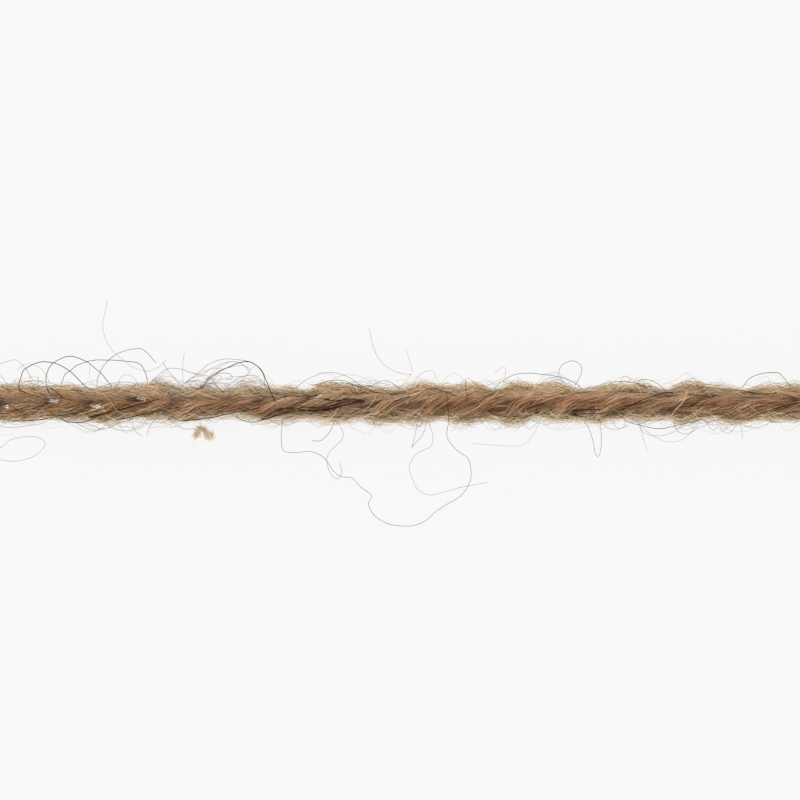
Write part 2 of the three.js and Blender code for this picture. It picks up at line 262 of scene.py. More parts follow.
def makeFibreTree():
    tree, given = newTree("fibresOnRoutes", [
        ("Count", "Int"), ("Points", "Int"), ("Span Min", "Float"), ("Span Max", "Float"),
        ("Spread", "Float"), ("Drift", "Float"), ("Depth Min", "Float"), ("Depth Max", "Float"),
        ("Wander", "Float"), ("Wander Scale", "Float"), ("Lift", "Float"), ("Lift Power", "Float"),
        ("Arch Share", "Float"), ("Thickness", "Float"), ("Taper", "Float"), ("Ply Tone", "Float"),
        ("Floor", "Float"), ("Seed", "Int"), ("Material", "Material"),
    ])
    routes = addNode(tree, "GeometryNodeMeshToCurve")
    feed(tree, routes.inputs["Mesh"], given["Geometry"])
    routeCount = addNode(tree, "GeometryNodeAttributeDomainSize", component="CURVE")
    feed(tree, routeCount.inputs["Geometry"], routes.outputs["Curve"])
    line = addNode(tree, "GeometryNodeCurvePrimitiveLine")
    pieces = addNode(tree, "GeometryNodeResampleCurve")
    feed(tree, pieces.inputs["Curve"], line.outputs["Curve"])
    feed(tree, pieces.inputs["Count"], given["Points"])
    copies = addNode(tree, "GeometryNodeDuplicateElements", domain="SPLINE")
    feed(tree, copies.inputs["Geometry"], pieces.outputs["Curve"])
    feed(tree, copies.inputs["Amount"], given["Count"])
    own = copies.outputs["Duplicate Index"]

    def chance(low, high, salt, kind="FLOAT", owner=own):  # a value for each fibre, another for each salt
        suffix = {"FLOAT": "_001", "INT": "_002", "FLOAT_VECTOR": ""}[kind]
        node = addNode(tree, "FunctionNodeRandomValue", data_type=kind)
        sockets = {socket.identifier: socket for socket in node.inputs}
        feed(tree, sockets["Min" + suffix], low)
        feed(tree, sockets["Max" + suffix], high)
        feed(tree, sockets["ID"], owner)
        feed(tree, sockets["Seed"], calc(tree, "ADD", given["Seed"], salt))
        return next(socket for socket in node.outputs if socket.identifier == "Value" + suffix)

    def sample(label, kind):  # a value of the route where the fibre runs
        named = addNode(tree, "GeometryNodeInputNamedAttribute", data_type=kind)
        named.inputs["Name"].default_value = label
        node = addNode(tree, "GeometryNodeSampleCurve", mode="FACTOR", data_type=kind)
        feed(tree, node.inputs["Curves"], routes.outputs["Curve"])
        feed(tree, node.inputs["Value"], named.outputs["Attribute"])
        feed(tree, node.inputs["Factor"], place)
        feed(tree, node.inputs["Curve Index"], route)
        return node

    # where on its route each point of the fibre is
    along = addNode(tree, "GeometryNodeSplineParameter").outputs["Factor"]
    turned = chance(0, 1, 1, "INT")
    towardsTip = calc(tree, "ABSOLUTE", calc(tree, "SUBTRACT", turned, along))
    span = chance(given["Span Min"], given["Span Max"], 2)
    start = calc(tree, "MULTIPLY", chance(0.0, 1.0, 3), calc(tree, "SUBTRACT", 1.0, span))
    place = calc(tree, "ADD", start, calc(tree, "MULTIPLY", span, along))
    route = chance(0, calc(tree, "SUBTRACT", routeCount.outputs["Spline Count"], 1.0), 4, "INT")
    outwardAt = sample("outward", "FLOAT_VECTOR")
    radiusAt = sample("plyRadius", "FLOAT").outputs["Value"]

    # the direction in which it lies on the ply
    tangent = outwardAt.outputs["Tangent"]
    outward = outwardAt.outputs["Value"]
    lean = scaled(tree, tangent, vectorCalc(tree, "DOT_PRODUCT", tangent, outward))
    outward = vectorCalc(tree, "NORMALIZE", vectorCalc(tree, "SUBTRACT", outward, lean))
    sideways = vectorCalc(tree, "CROSS_PRODUCT", tangent, outward)
    drift = calc(tree, "MULTIPLY", chance(-1.0, 1.0, 5), given["Drift"])
    swing = calc(tree, "MULTIPLY", drift, calc(tree, "SUBTRACT", along, 0.5))
    turn = calc(tree, "ADD", calc(tree, "MULTIPLY", chance(-1.0, 1.0, 6), given["Spread"]), swing)
    direction = vectorCalc(
        tree, "ADD", scaled(tree, outward, calc(tree, "COSINE", turn)),
        scaled(tree, sideways, calc(tree, "SINE", turn)))

    # how far out it lies: sunk in the ply, and lifted off it as an arch or at its tip
    depth = chance(given["Depth Min"], given["Depth Max"], 7)
    left = calc(tree, "SUBTRACT", 1.0, along)
    arch = calc(tree, "MULTIPLY", calc(tree, "MULTIPLY", 4.0, along), left)  # 1 halfway along it
    tip = calc(tree, "POWER", towardsTip, fibreShape["tipPower"])
    isArch = calc(tree, "LESS_THAN", chance(0.0, 1.0, 8), given["Arch Share"])
    shape = addNode(tree, "ShaderNodeMix", data_type="FLOAT")
    for socket, value in zip((shape.inputs[0], shape.inputs[2], shape.inputs[3]), (isArch, tip, arch)):
        feed(tree, socket, value)
    rise = calc(tree, "POWER", chance(0.0, 1.0, 9), given["Lift Power"])
    lift = calc(tree, "MULTIPLY", given["Lift"], rise)
    reach = calc(tree, "ADD", calc(tree, "MULTIPLY", radiusAt, depth),
                 calc(tree, "MULTIPLY", lift, shape.outputs[0]))
    point = vectorCalc(tree, "ADD", outwardAt.outputs["Position"], scaled(tree, direction, reach))

    # it wanders a little, and never goes below the table
    bends = addNode(tree, "ShaderNodeTexNoise", noise_dimensions="3D")
    bends.inputs["Scale"].default_value = 1.0
    bends.inputs["Detail"].default_value = 1.0
    shift = fibreShape["noiseShift"]
    feed(tree, bends.inputs["Vector"], vectorCalc(
        tree, "ADD", scaled(tree, outwardAt.outputs["Position"], given["Wander Scale"]),
        chance((-shift, -shift, -shift), (shift, shift, shift), 10, "FLOAT_VECTOR")))
    offset = vectorCalc(tree, "SUBTRACT", bends.outputs["Color"], (0.5, 0.5, 0.5))
    swerve = calc(tree, "MULTIPLY", given["Wander"], fibreShape["noiseGain"])
    point = vectorCalc(tree, "ADD", point, scaled(tree, offset, swerve))
    parts = addNode(tree, "ShaderNodeSeparateXYZ")
    feed(tree, parts.inputs[0], point)
    whole = addNode(tree, "ShaderNodeCombineXYZ")
    feed(tree, whole.inputs[0], parts.outputs[0])
    feed(tree, whole.inputs[1], parts.outputs[1])
    feed(tree, whole.inputs[2], calc(tree, "MAXIMUM", parts.outputs[2], given["Floor"]))
    laid = addNode(tree, "GeometryNodeSetPosition")
    feed(tree, laid.inputs["Geometry"], copies.outputs["Geometry"])
    feed(tree, laid.inputs["Position"], whole.outputs[0])

    # every fibre keeps a number that its material turns into a colour
    toned = addNode(tree, "GeometryNodeStoreNamedAttribute", data_type="FLOAT", domain="POINT")
    feed(tree, toned.inputs["Geometry"], laid.outputs["Geometry"])
    toned.inputs["Name"].default_value = "tone"
    ofPly = calc(tree, "MULTIPLY", chance(0.0, 1.0, 13, owner=route), given["Ply Tone"])
    ofFibre = calc(tree, "MULTIPLY", chance(0.0, 1.0, 11), calc(tree, "SUBTRACT", 1.0, given["Ply Tone"]))
    feed(tree, toned.inputs["Value"], calc(tree, "ADD", ofPly, ofFibre))
    faced = addNode(tree, "GeometryNodeStoreNamedAttribute", data_type="FLOAT_VECTOR", domain="POINT")
    feed(tree, faced.inputs["Geometry"], toned.outputs["Geometry"])
    faced.inputs["Name"].default_value = "facing"
    feed(tree, faced.inputs["Value"], direction)
    thin = calc(tree, "SUBTRACT", 1.0, calc(tree, "MULTIPLY", given["Taper"], tip))
    wider = chance(fibreShape["thinnest"], fibreShape["thickest"], 12)
    thickness = calc(tree, "MULTIPLY", given["Thickness"], wider)
    closeTree(tree, faced.outputs["Geometry"], calc(tree, "MULTIPLY", thickness, thin), given["Material"])
    return tree


# the tree that turns given lines into hairs

def makeHairTree():
    tree, given = newTree("hairsOnLines", [
        ("Kink", "Float"), ("Kink Scale", "Float"), ("Material", "Material"),
    ])
    lines = addNode(tree, "GeometryNodeMeshToCurve")
    feed(tree, lines.inputs["Mesh"], given["Geometry"])
    bends = addNode(tree, "ShaderNodeTexNoise", noise_dimensions="3D")
    bends.inputs["Detail"].default_value = 1.0
    feed(tree, bends.inputs["Scale"], given["Kink Scale"])
    feed(tree, bends.inputs["Vector"], addNode(tree, "GeometryNodeInputPosition").outputs["Position"])
    offset = vectorCalc(tree, "SUBTRACT", bends.outputs["Color"], (0.5, 0.5, 0.5))
    laid = addNode(tree, "GeometryNodeSetPosition")
    feed(tree, laid.inputs["Geometry"], lines.outputs["Curve"])
    swerve = calc(tree, "MULTIPLY", given["Kink"], fibreShape["noiseGain"])
    feed(tree, laid.inputs["Offset"], scaled(tree, offset, swerve))
    named = addNode(tree, "GeometryNodeInputNamedAttribute", data_type="FLOAT")
    named.inputs["Name"].default_value = "thickness"
    closeTree(tree, laid.outputs["Geometry"], named.outputs["Attribute"], given["Material"])
    return tree


# colours and finishes

def paint(red, green, blue):  # a colour as a paint chart gives it, 0 to 255
    parts = [part / 255 for part in (red, green, blue)]
    return [part / 12.92 if part <= 0.04045 else ((part + 0.055) / 1.055) ** 2.4 for part in parts] + [1.0]


wool = {
    "dark": paint(94, 64, 44),
    "middle": paint(190, 153, 117),
    "pale": paint(255, 234, 200),
    # painted shade: the colour that creases, hollows and deep fibres are darkened towards
    "crease": paint(94, 65, 50),
    "reddish": paint(233, 205, 188),
    "darkShare": 0.48,
    "paleShare": 0.4,
    "side": paint(240, 210, 168),  # painted light: the sides are painted paler, standing in for light through their fuzz
    "sideLightShare": 0.34,
    "leastLightAt": -0.3,  # mm, where the painted light is least and the wool darkest
    "sideLightTo": 1.6,  # mm from there
    "patchAlong": 130.0,  # reddish patches in a metre
    "patchAcross": 900.0,
    "dimBelow": 0.7,  # mm from the axis, below which it is painted with the creases' shade
    "fullFrom": 1.3,  # mm from the axis, from which it has its own colour, free of painted shade
    "roughness": 0.85,
    "sheen": 0.35,
}

coreWool = {
    "dark": wool["dark"],
    "middle": wool["middle"],
    "pale": wool["pale"],
    "darkShare": 0.6,
    "paleShare": 0.3,
    "broadAlong": 0.5,  # streaks in a mm of the ply
    "broadAcross": 5.0,
    "fineAlong": 0.9,
    "fineAcross": 22.0,
    "fineShare": 0.6,  # of the tone; the rest is from the broad streaks
    "bump": 0.6,
    "bumpDepth": 0.05,  # mm
}

goldenWool = {
    "dark": paint(176, 140, 106),
    "middle": paint(198, 160, 120),
    "pale": paint(246, 224, 190),
    "darkShare": 0.5,
    "paleShare": 0.3,
    "dimBelow": 0.5,
    "fullFrom": 1.2,
    "roughness": 0.7,
    "sheen": 0.3,
}

darkWool = {
    "dark": paint(34, 23, 19),
    "middle": paint(84, 56, 40),
    "pale": paint(140, 104, 78),
    "darkShare": 0.7,
    "paleShare": 0.2,
    "dimBelow": 0.5,
    "fullFrom": 0.9,
    "roughness": 0.5,
    "sheen": 0.0,
}

edgeWool = {
    "dark": paint(154, 117, 78),
    "middle": paint(228, 200, 156),
    "pale": paint(255, 244, 218),
    "darkShare": 0.5,
    "paleShare": 0.5,
    "roughness": 0.6,
    "sheen": 0.2,
}

haloWool = {
    "dark": paint(116, 90, 66),
    "middle": paint(184, 156, 122),
    "pale": paint(236, 218, 188),
    "darkShare": 0.5,
    "paleShare": 0.5,
    "roughness": 0.6,
    "sheen": 0.2,
}

guardHair = {
    "dark": paint(34, 20, 12),
    "middle": paint(126, 86, 56),
    "pale": paint(224, 200, 164),
    "darkShare": 0.5,
    "paleShare": 0.5,
    "roughness": 0.7,
    "sheen": 0.0,
}

lint = {
    "dark": paint(226, 203, 168),
    "middle": paint(248, 232, 204),
    "pale": paint(255, 249, 234),
    "darkShare": 0.4,
    "paleShare": 0.5,
    "streakAlong": 2500.0,  # in a metre
    "streakAcross": 5000.0,
    "streakShare": 0.5,  # of the tone; the rest is each fibre's own
    "roughness": 0.85,
    "sheen": 0.3,
    "bump": 0.5,
    "bumpDepth": 0.05,  # mm
}

sheenTint = paint(255, 224, 180)
lowGloss = 0.15  # wool and hair hardly shine


def mixColour(tree, share, first, second, blend="MIX"):
    node = addNode(tree, "ShaderNodeMix", data_type="RGBA", blend_type=blend)
    feed(tree, node.inputs[0], share)
    feed(tree, node.inputs[6], first)  # its sockets for colours
    feed(tree, node.inputs[7], second)
    return node.outputs[2]


def ease(tree, value, low, high):  # 0 below low, 1 above high
    node = addNode(tree, "ShaderNodeMapRange", interpolation_type="SMOOTHSTEP")
    feed(tree, node.inputs["Value"], value)
    feed(tree, node.inputs["From Min"], low)
    feed(tree, node.inputs["From Max"], high)
    return node.outputs["Result"]


def newShaderGroup(name, inputs, outputs):
    tree = bpy.data.node_groups.new(name, "ShaderNodeTree")
    for label, kind in inputs:
        tree.interface.new_socket(label, in_out="INPUT", socket_type="NodeSocket" + kind)
    for label, kind in outputs:
        tree.interface.new_socket(label, in_out="OUTPUT", socket_type="NodeSocket" + kind)
    return tree, addNode(tree, "NodeGroupInput").outputs, addNode(tree, "NodeGroupOutput").inputs


def makeToneGroup():  # three colours of fibre, chosen by one number
    tree, given, result = newShaderGroup(
        "fibreTone",
        [("Tone", "Float"), ("Dark", "Color"), ("Middle", "Color"), ("Pale", "Color"),
         ("Dark Share", "Float"), ("Pale Share", "Float")],
        [("Color", "Color")])
    darkPart = ease(tree, given["Tone"], 0.0, given["Dark Share"])
    palePart = ease(tree, given["Tone"], calc(tree, "SUBTRACT", 1.0, given["Pale Share"]), 1.0)
    first = mixColour(tree, darkPart, given["Dark"], given["Middle"])
    feed(tree, result["Color"], mixColour(tree, palePart, first, given["Pale"]))
    return tree


def makeDepthGroup():  # how deep in the strand a point is: 0 in the creases, 1 on the outside
    tree, given, result = newShaderGroup(
        "depthInStrand",
        [("Object", "Vector"), ("Axis Height", "Float"), ("Low", "Float"), ("High", "Float")],
        [("Mask", "Float")])
    parts = addNode(tree, "ShaderNodeSeparateXYZ")
    feed(tree, parts.inputs[0], given["Object"])
    rise = calc(tree, "SUBTRACT", parts.outputs[2], given["Axis Height"])
    squares = calc(tree, "ADD", calc(tree, "MULTIPLY", rise, rise),
                   calc(tree, "MULTIPLY", parts.outputs[1], parts.outputs[1]))
    away = calc(tree, "SQRT", squares)
    feed(tree, result["Mask"], ease(tree, away, given["Low"], given["High"]))
    return tree


def makeStreakGroup():  # long thin streaks, such as combed fibres leave
    tree, given, result = newShaderGroup(
        "combedStreaks",
        [("Vector", "Vector"), ("Along", "Float"), ("Across", "Float"), ("Detail", "Float")],
        [("Mask", "Float"), ("Height", "Float")])
    stretch = addNode(tree, "ShaderNodeCombineXYZ")
    feed(tree, stretch.inputs[0], given["Along"])
    feed(tree, stretch.inputs[1], given["Across"])
    feed(tree, stretch.inputs[2], given["Across"])
    grain = addNode(tree, "ShaderNodeTexNoise", noise_dimensions="3D")
    grain.inputs["Scale"].default_value = 1.0
    feed(tree, grain.inputs["Detail"], given["Detail"])
    feed(tree, grain.inputs["Vector"], vectorCalc(tree, "MULTIPLY", given["Vector"], stretch.outputs[0]))
    feed(tree, result["Mask"], ease(tree, grain.outputs["Fac"], 0.3, 0.7))
    feed(tree, result["Height"], grain.outputs["Fac"])
    return tree


def newMaterial(name, roughness, sheen):
    material = bpy.data.materials.new(name)
    material.use_nodes = True
    tree = material.node_tree
    shader = tree.nodes["Principled BSDF"]
    shader.inputs["Roughness"].default_value = roughness
    shader.inputs["Sheen Weight"].default_value = sheen
    shader.inputs["Sheen Tint"].default_value = sheenTint
    shader.inputs["Specular IOR Level"].default_value = lowGloss
    return material, tree, shader.inputs


def useGroup(tree, group, **values):
    node = addNode(tree, "ShaderNodeGroup", node_tree=group)
    for label, value in values.items():
        feed(tree, node.inputs[label.replace("_", " ")], value)
    return node.outputs


def readAttribute(tree, name, output="Fac"):
    return addNode(tree, "ShaderNodeAttribute", attribute_name=name).outputs[output]


# painted shade: the nearer the axis, the more of the creases' colour
def shadeByDepth(tree, low, high):
    place = addNode(tree, "ShaderNodeTexCoord").outputs["Object"]
    return useGroup(tree, depthGroup, Object=place, Axis_Height=chain["axisHeight"] * mm,
                    Low=low * mm, High=high * mm)["Mask"]


def toneColour(tree, colours, tone=None):  # the colour that a number from 0 to 1 stands for
    if tone is None:
        tone = readAttribute(tree, "tone")
    return useGroup(tree, toneGroup, Tone=tone, Dark=colours["dark"], Middle=colours["middle"],
                    Pale=colours["pale"], Dark_Share=colours["darkShare"],
                    Pale_Share=colours["paleShare"])["Color"]


def addBump(tree, shader, colours, height):
    bump = addNode(tree, "ShaderNodeBump")
    bump.inputs["Strength"].default_value = colours["bump"]
    bump.inputs["Distance"].default_value = colours["bumpDepth"] * mm
    feed(tree, bump.inputs["Height"], height)
    feed(tree, shader["Normal"], bump.outputs["Normal"])


def patchesAndPaintedLight(tree, colour):  # broad reddish stretches, painted light on the sides, and painted shade in the hollows
    place = addNode(tree, "ShaderNodeTexCoord").outputs["Object"]
    patches = useGroup(tree, streakGroup, Vector=place, Along=wool["patchAlong"],
                       Across=wool["patchAcross"], Detail=2.0)["Mask"]
    redder = mixColour(tree, patches, colour, wool["reddish"], "MULTIPLY")
    # painted light: paler towards the sides, least a little below the middle
    parts = addNode(tree, "ShaderNodeSeparateXYZ")
    feed(tree, parts.inputs[0], place)
    off = calc(tree, "SUBTRACT", parts.outputs[1], wool["leastLightAt"] * mm)
    side = ease(tree, calc(tree, "ABSOLUTE", off), 0.0, wool["sideLightTo"] * mm)
    sideLit = mixColour(tree, calc(tree, "MULTIPLY", side, wool["sideLightShare"]), redder, wool["side"])
    # painted shade in the hollows
    return mixColour(tree, readAttribute(tree, "hollowAndShade"), sideLit, wool["crease"])


def makeFibreMaterial(name, colours):  # for fibres laid on the plies
    material, tree, shader = newMaterial(name, colours["roughness"], colours["sheen"])
    colour = toneColour(tree, colours)
    # painted shade: fibres that lie deep in the strand take the creases' colour
    depthShade = shadeByDepth(tree, colours["dimBelow"], colours["fullFrom"])
    feed(tree, shader["Base Color"], mixColour(tree, depthShade, wool["crease"], patchesAndPaintedLight(tree, colour)))
    return material


def makeLooseMaterial(name, colours):  # for fuzz and hairs, which get no painted shade or light
    material, tree, shader = newMaterial(name, colours["roughness"], colours["sheen"])
    feed(tree, shader["Base Color"], toneColour(tree, colours))
    return material


def makeCoreMaterial():
    material, tree, shader = newMaterial("woolCore", wool["roughness"], wool["sheen"])
    place = readAttribute(tree, "plyCoord", "Vector")
    broad = useGroup(tree, streakGroup, Vector=place, Along=coreWool["broadAlong"],
                     Across=coreWool["broadAcross"], Detail=2.0)
    fine = useGroup(tree, streakGroup, Vector=place, Along=coreWool["fineAlong"],
                    Across=coreWool["fineAcross"], Detail=3.0)
    ofBroad = calc(tree, "MULTIPLY", broad["Mask"], 1 - coreWool["fineShare"])
    tone = calc(tree, "MULTIPLY_ADD", fine["Mask"], coreWool["fineShare"], ofBroad)
    colour = toneColour(tree, coreWool, tone)
    # painted shade at the bottom of the creases between the legs
    crease = readAttribute(tree, "crease")
    feed(tree, shader["Base Color"], mixColour(tree, crease, wool["crease"], patchesAndPaintedLight(tree, colour)))
    addBump(tree, shader, coreWool, fine["Height"])
    return material


# the body of the strand, which fills it under its loose fibres

coreForm = {
    "ringStep": 0.15,  # mm from one ring of corners to the next
    "ringSides": 64,
    "under": 0.2,  # mm that it lies below its loose fibres
    "streak": 0.05,  # mm, height of the combed streaks
    "streakAlong": 0.5,  # streaks in a mm
    "streakAcross": 5.0,
    "streakShift": 7.3,  # so that each run of the ply has its own streaks
    "creaseWidth": 0.3,  # mm of rise out of a crease over which its painted shade fades
    "creaseLeast": 0.5,  # share of the wool's own colour at the bottom of a crease; the rest is painted shade
    "inset": 0.32,  # mm that it lies inside the outline
    "crease": 1.22,  # the creases are filled with wool to this distance from the axis
}


def runsAt(x):  # the runs of yarn that cross the strand at x
    runs = []
    face = readRow(faceTurns, x, 1)
    for stitch, tip in enumerate(tips):
        along = (tip - x) / chain["pitch"]
        for part, (rows, mirror) in enumerate(((legRows, 1), (legRows, -1), (backRows, 1))):
            if rows[0][0] <= along <= rows[-1][0]:
                around = math.radians(mirror * readRow(rows, along, 1) + face)
                runs.append({"around": around, "centre": readRow(rows, along, 2),
                             "radius": readRow(rows, along, 3), "along": along * chain["pitch"],
                             "number": stitch * 3 + part})
    return runs


def reachOfRun(run, direction):
    turn = direction - run["around"]
    sideways = run["centre"] * math.sin(turn)
    if math.cos(turn) < 0 or abs(sideways) >= run["radius"]:
        return 0.0
    return run["centre"] * math.cos(turn) + math.sqrt(run["radius"] ** 2 - sideways ** 2)


def coreCorner(x, fromDown, runs, sway, girth):  # a corner of a ring, with what its material needs
    direction = math.pi - fromDown
    reaches = sorted(((reachOfRun(run, direction), run["number"], run) for run in runs), reverse=True)
    best, number, run = reaches[0]
    second = reaches[1][0] if len(reaches) > 1 else 0.0
    turn = direction - run["around"]
    about = math.atan2(best * math.sin(turn), best * math.cos(turn) - run["centre"])
    coord = (run["along"], about * run["radius"], number * coreForm["streakShift"])
    # painted shade: darker at the bottom of the creases between the legs
    clear = min(1.0, max(0.0, (best - max(second, chain["core"])) / coreForm["creaseWidth"]))
    crease = coreForm["creaseLeast"] + (1 - coreForm["creaseLeast"]) * clear
    streak = noise.noise(Vector((
        coord[0] * coreForm["streakAlong"], coord[1] * coreForm["streakAcross"], coord[2])))
    reach = min(max(coreForm["crease"], best), chain["reach"]) * girth
    reach += coreForm["streak"] * streak - coreForm["under"]
    down = math.cos(fromDown)
    if down > math.cos(math.radians(chain["flatTurn"])):
        reach = chain["axisHeight"] / down
    height = max(0.0, chain["axisHeight"] - reach * down)
    place = Vector((x, sway + reach * math.sin(fromDown), height))
    return {"place": place, "plyCoord": coord, "crease": crease}


def makeRings():
    count = round(chain["length"] / coreForm["ringStep"])
    sides = coreForm["ringSides"]
    rings = []
    for ring in range(count + 1):
        x = -chain["length"] / 2 + chain["length"] * ring / count
        runs = runsAt(x)
        sway, girth = readRow(swayRows, x, 1), readRow(swayRows, x, 2)
        rings.append([coreCorner(x, 2 * math.pi * side / sides, runs, sway, girth)
                      for side in range(sides)])
    return rings


def makeCore(rings, material):
    sides = coreForm["ringSides"]
    corners = [corner for ring in rings for corner in ring]
    faces = []
    for ring in range(len(rings) - 1):
        for side in range(sides):
            here, beside = ring * sides + side, ring * sides + (side + 1) % sides
            faces.append((here, beside, beside + sides, here + sides))
    faces.append(list(range(sides)))
    faces.append(list(range(len(corners) - sides, len(corners))))
    mesh = bpy.data.meshes.new("strandCore")
    mesh.from_pydata([corner["place"] * mm for corner in corners], [], faces)
    layer = mesh.attributes.new("plyCoord", "FLOAT_VECTOR", "POINT")
    layer.data.foreach_set("vector", [part for corner in corners for part in corner["plyCoord"]])
    layer = mesh.attributes.new("crease", "FLOAT", "POINT")
    layer.data.foreach_set("value", [corner["crease"] for corner in corners])
    shell = bmesh.new()
    shell.from_mesh(mesh)
    bmesh.ops.recalc_face_normals(shell, faces=shell.faces)
    shell.to_mesh(mesh)
    shell.free()
    mesh.materials.append(material)
    core = bpy.data.objects.new("strandCore", mesh)
    bpy.context.collection.objects.link(core)
    fitSides(mesh, bodyFit)
    sinkHollows(mesh)
    cutEyelets(core)
    for face in core.data.polygons:
        face.use_smooth = True
    return core


outlineForm = {
    "waves": 0.85,  # share of the outline's waves that is kept
    "upperMean": 1.36,  # mm
    "lowerMean": 1.52,  # mm
    "lowerTrim": 0.05,  # mm that the lower side is drawn in, for the loose fibres outside it
}


def reachAbove(x):
    wave = outlineForm["waves"] * (readRow(upperEdge, x, 1) - outlineForm["upperMean"])
    return outlineForm["upperMean"] + wave


def reachBelow(x):
    wave = outlineForm["waves"] * (readRow(lowerEdge, x, 1) - outlineForm["lowerMean"])
    return outlineForm["lowerMean"] - outlineForm["lowerTrim"] + wave


def fitOfRings(rings):  # what brings each ring's two sides to the outline
    fit = {"x": [], "sway": [], "above": [], "below": []}
    for ring in rings:
        x = ring[0]["place"].x
        sway = readRow(swayRows, x, 1)
        sides = [corner["place"].y - sway for corner in ring]
        fit["x"].append(x)
        fit["sway"].append(sway)
        fit["above"].append((reachAbove(x) - sway - coreForm["inset"]) / max(sides))
        fit["below"].append((reachBelow(x) + sway - coreForm["inset"]) / -min(sides))
    return fit


fuzzForm = {
    "edgeRadius": 1.5,  # mm from the axis
    "haloRadius": 1.4,
    "ends": (-41.5, 41.5),  # mm along the strand
    "curlEnds": (-23.0, -11.0),  # the stretch with the most curls
    "routeSteps": 60,
    "outerRoute": 1.06,  # how much farther out the second route of each side is
    "facingUp": 0.2,
    "fitEnd": 44.0,  # mm, a little past the strand's end
    "fitStep": 0.2,  # mm
}


def fitOfFuzz(radius):  # the same for fibres that run around the axis at one radius
    fit = {"x": [], "sway": [], "above": [], "below": []}
    end, step = fuzzForm["fitEnd"], fuzzForm["fitStep"]
    for x in np.arange(-end, end + step / 2, step):
        sway, girth = readRow(swayRows, x, 1), readRow(swayRows, x, 2)
        fit["x"].append(x)
        fit["sway"].append(sway)
        fit["above"].append((reachAbove(x) - sway) / radius / girth)
        fit["below"].append((reachBelow(x) + sway) / radius / girth)
    return fit


pitForm = {
    "from": 1.0,  # mm above the table where they begin
    "depth": 0.26,  # mm
    "paintedShade": 0.76,  # share of the creases' colour painted as shade at the middle of the darkest
}

eyeletForm = {
    "left": 0.16,  # share of the fibres across an opening that are left there
    "fringe": 0.8,  # share of an opening that is cleared, so that fibres fringe its rim
    "seed": 5,
    "sides": 18,
    "bottom": 1.9,  # how many times as wide it is at the table
    "height": 3.6,  # mm
    "below": 0.3,  # mm that the cutter reaches under the table
}


def cutEyelets(core):
    cutter = bmesh.new()
    for x, y, halfLength, halfWidth in eyelets:
        made = bmesh.ops.create_cone(
            cutter, cap_ends=True, segments=eyeletForm["sides"], radius1=eyeletForm["bottom"],
            radius2=1.0, depth=eyeletForm["height"])
        for corner in made["verts"]:
            corner.co.x = (x + corner.co.x * halfLength) * mm
            corner.co.y = (y + corner.co.y * halfWidth) * mm
            corner.co.z = (corner.co.z + eyeletForm["height"] / 2 - eyeletForm["below"]) * mm
    mesh = bpy.data.meshes.new("eyeletCutter")
    cutter.to_mesh(mesh)
    cutter.free()
    tool = bpy.data.objects.new("eyeletCutter", mesh)
    bpy.context.collection.objects.link(tool)
    cut = core.modifiers.new("cut", "BOOLEAN")
    cut.object = tool
    cut.solver = "EXACT"
    graph = bpy.context.evaluated_depsgraph_get()
    result = bpy.data.meshes.new_from_object(
        core.evaluated_get(graph), preserve_all_data_layers=True, depsgraph=graph)
    core.modifiers.remove(cut)
    core.data = result
    bpy.data.objects.remove(tool)


def readVectors(mesh, data, label):
    values = np.empty(len(mesh.vertices) * 3)
    data.foreach_get(label, values)
    return values.reshape(-1, 3)


def fitSides(mesh, fit):
    places = readVectors(mesh, mesh.vertices, "co")
    x = places[:, 0] / mm
    off = places[:, 1] / mm - np.interp(x, fit["x"], fit["sway"])
    share = np.where(off > 0, np.interp(x, fit["x"], fit["above"]), np.interp(x, fit["x"], fit["below"]))
    places[:, 1] += off * (share - 1) * mm
    mesh.vertices.foreach_set("co", places.ravel())


def sinkHollows(mesh):  # draws the upper side in at the hollows, and notes where they are for their painted shade
    places = readVectors(mesh, mesh.vertices, "co")
    hollowAndShade = np.zeros(len(places))
    for x, y, halfLength, halfWidth, dark in pits:
        off = (places[:, :2] / mm - (x, y)) / (halfLength, halfWidth)
        hollowAndShade = np.maximum(hollowAndShade, dark * np.exp(-(off ** 2).sum(axis=1)))
    hollowAndShade *= np.clip(places[:, 2] / mm - pitForm["from"], 0, 1)
    places[:, 2] -= hollowAndShade * pitForm["depth"] * mm
    mesh.vertices.foreach_set("co", places.ravel())
    layer = mesh.attributes.new("hollowAndShade", "FLOAT", "POINT")
    layer.data.foreach_set("value", hollowAndShade * pitForm["paintedShade"])


def clearEyelets(mesh, points):  # takes out most of the fibres that cross an eyelet
    places = readVectors(mesh, mesh.vertices, "co")
    crossing = np.zeros(len(places) // (tubeSides * points), bool)
    for x, y, halfLength, halfWidth in eyelets:
        off = (places[:, :2] / mm - (x, y)) / (halfLength, halfWidth)
        lines = off.reshape(-1, points, tubeSides, 2).mean(axis=2)
        step = lines[:, 1:] - lines[:, :-1]
        share = -(lines[:, :-1] * step).sum(axis=2) / np.maximum((step ** 2).sum(axis=2), 1e-9)
        nearest = lines[:, :-1] + step * np.clip(share, 0, 1)[:, :, None]
        crossing |= np.linalg.norm(nearest, axis=2).min(axis=1) < eyeletForm["fringe"]
    crossing &= np.random.default_rng(eyeletForm["seed"]).random(len(crossing)) > eyeletForm["left"]
    gone = np.repeat(crossing, tubeSides * points)
    shell = bmesh.new()
    shell.from_mesh(mesh)
    bmesh.ops.delete(shell, geom=[corner for corner, out in zip(shell.verts, gone) if out], context="VERTS")
    shell.to_mesh(mesh)
    shell.free()


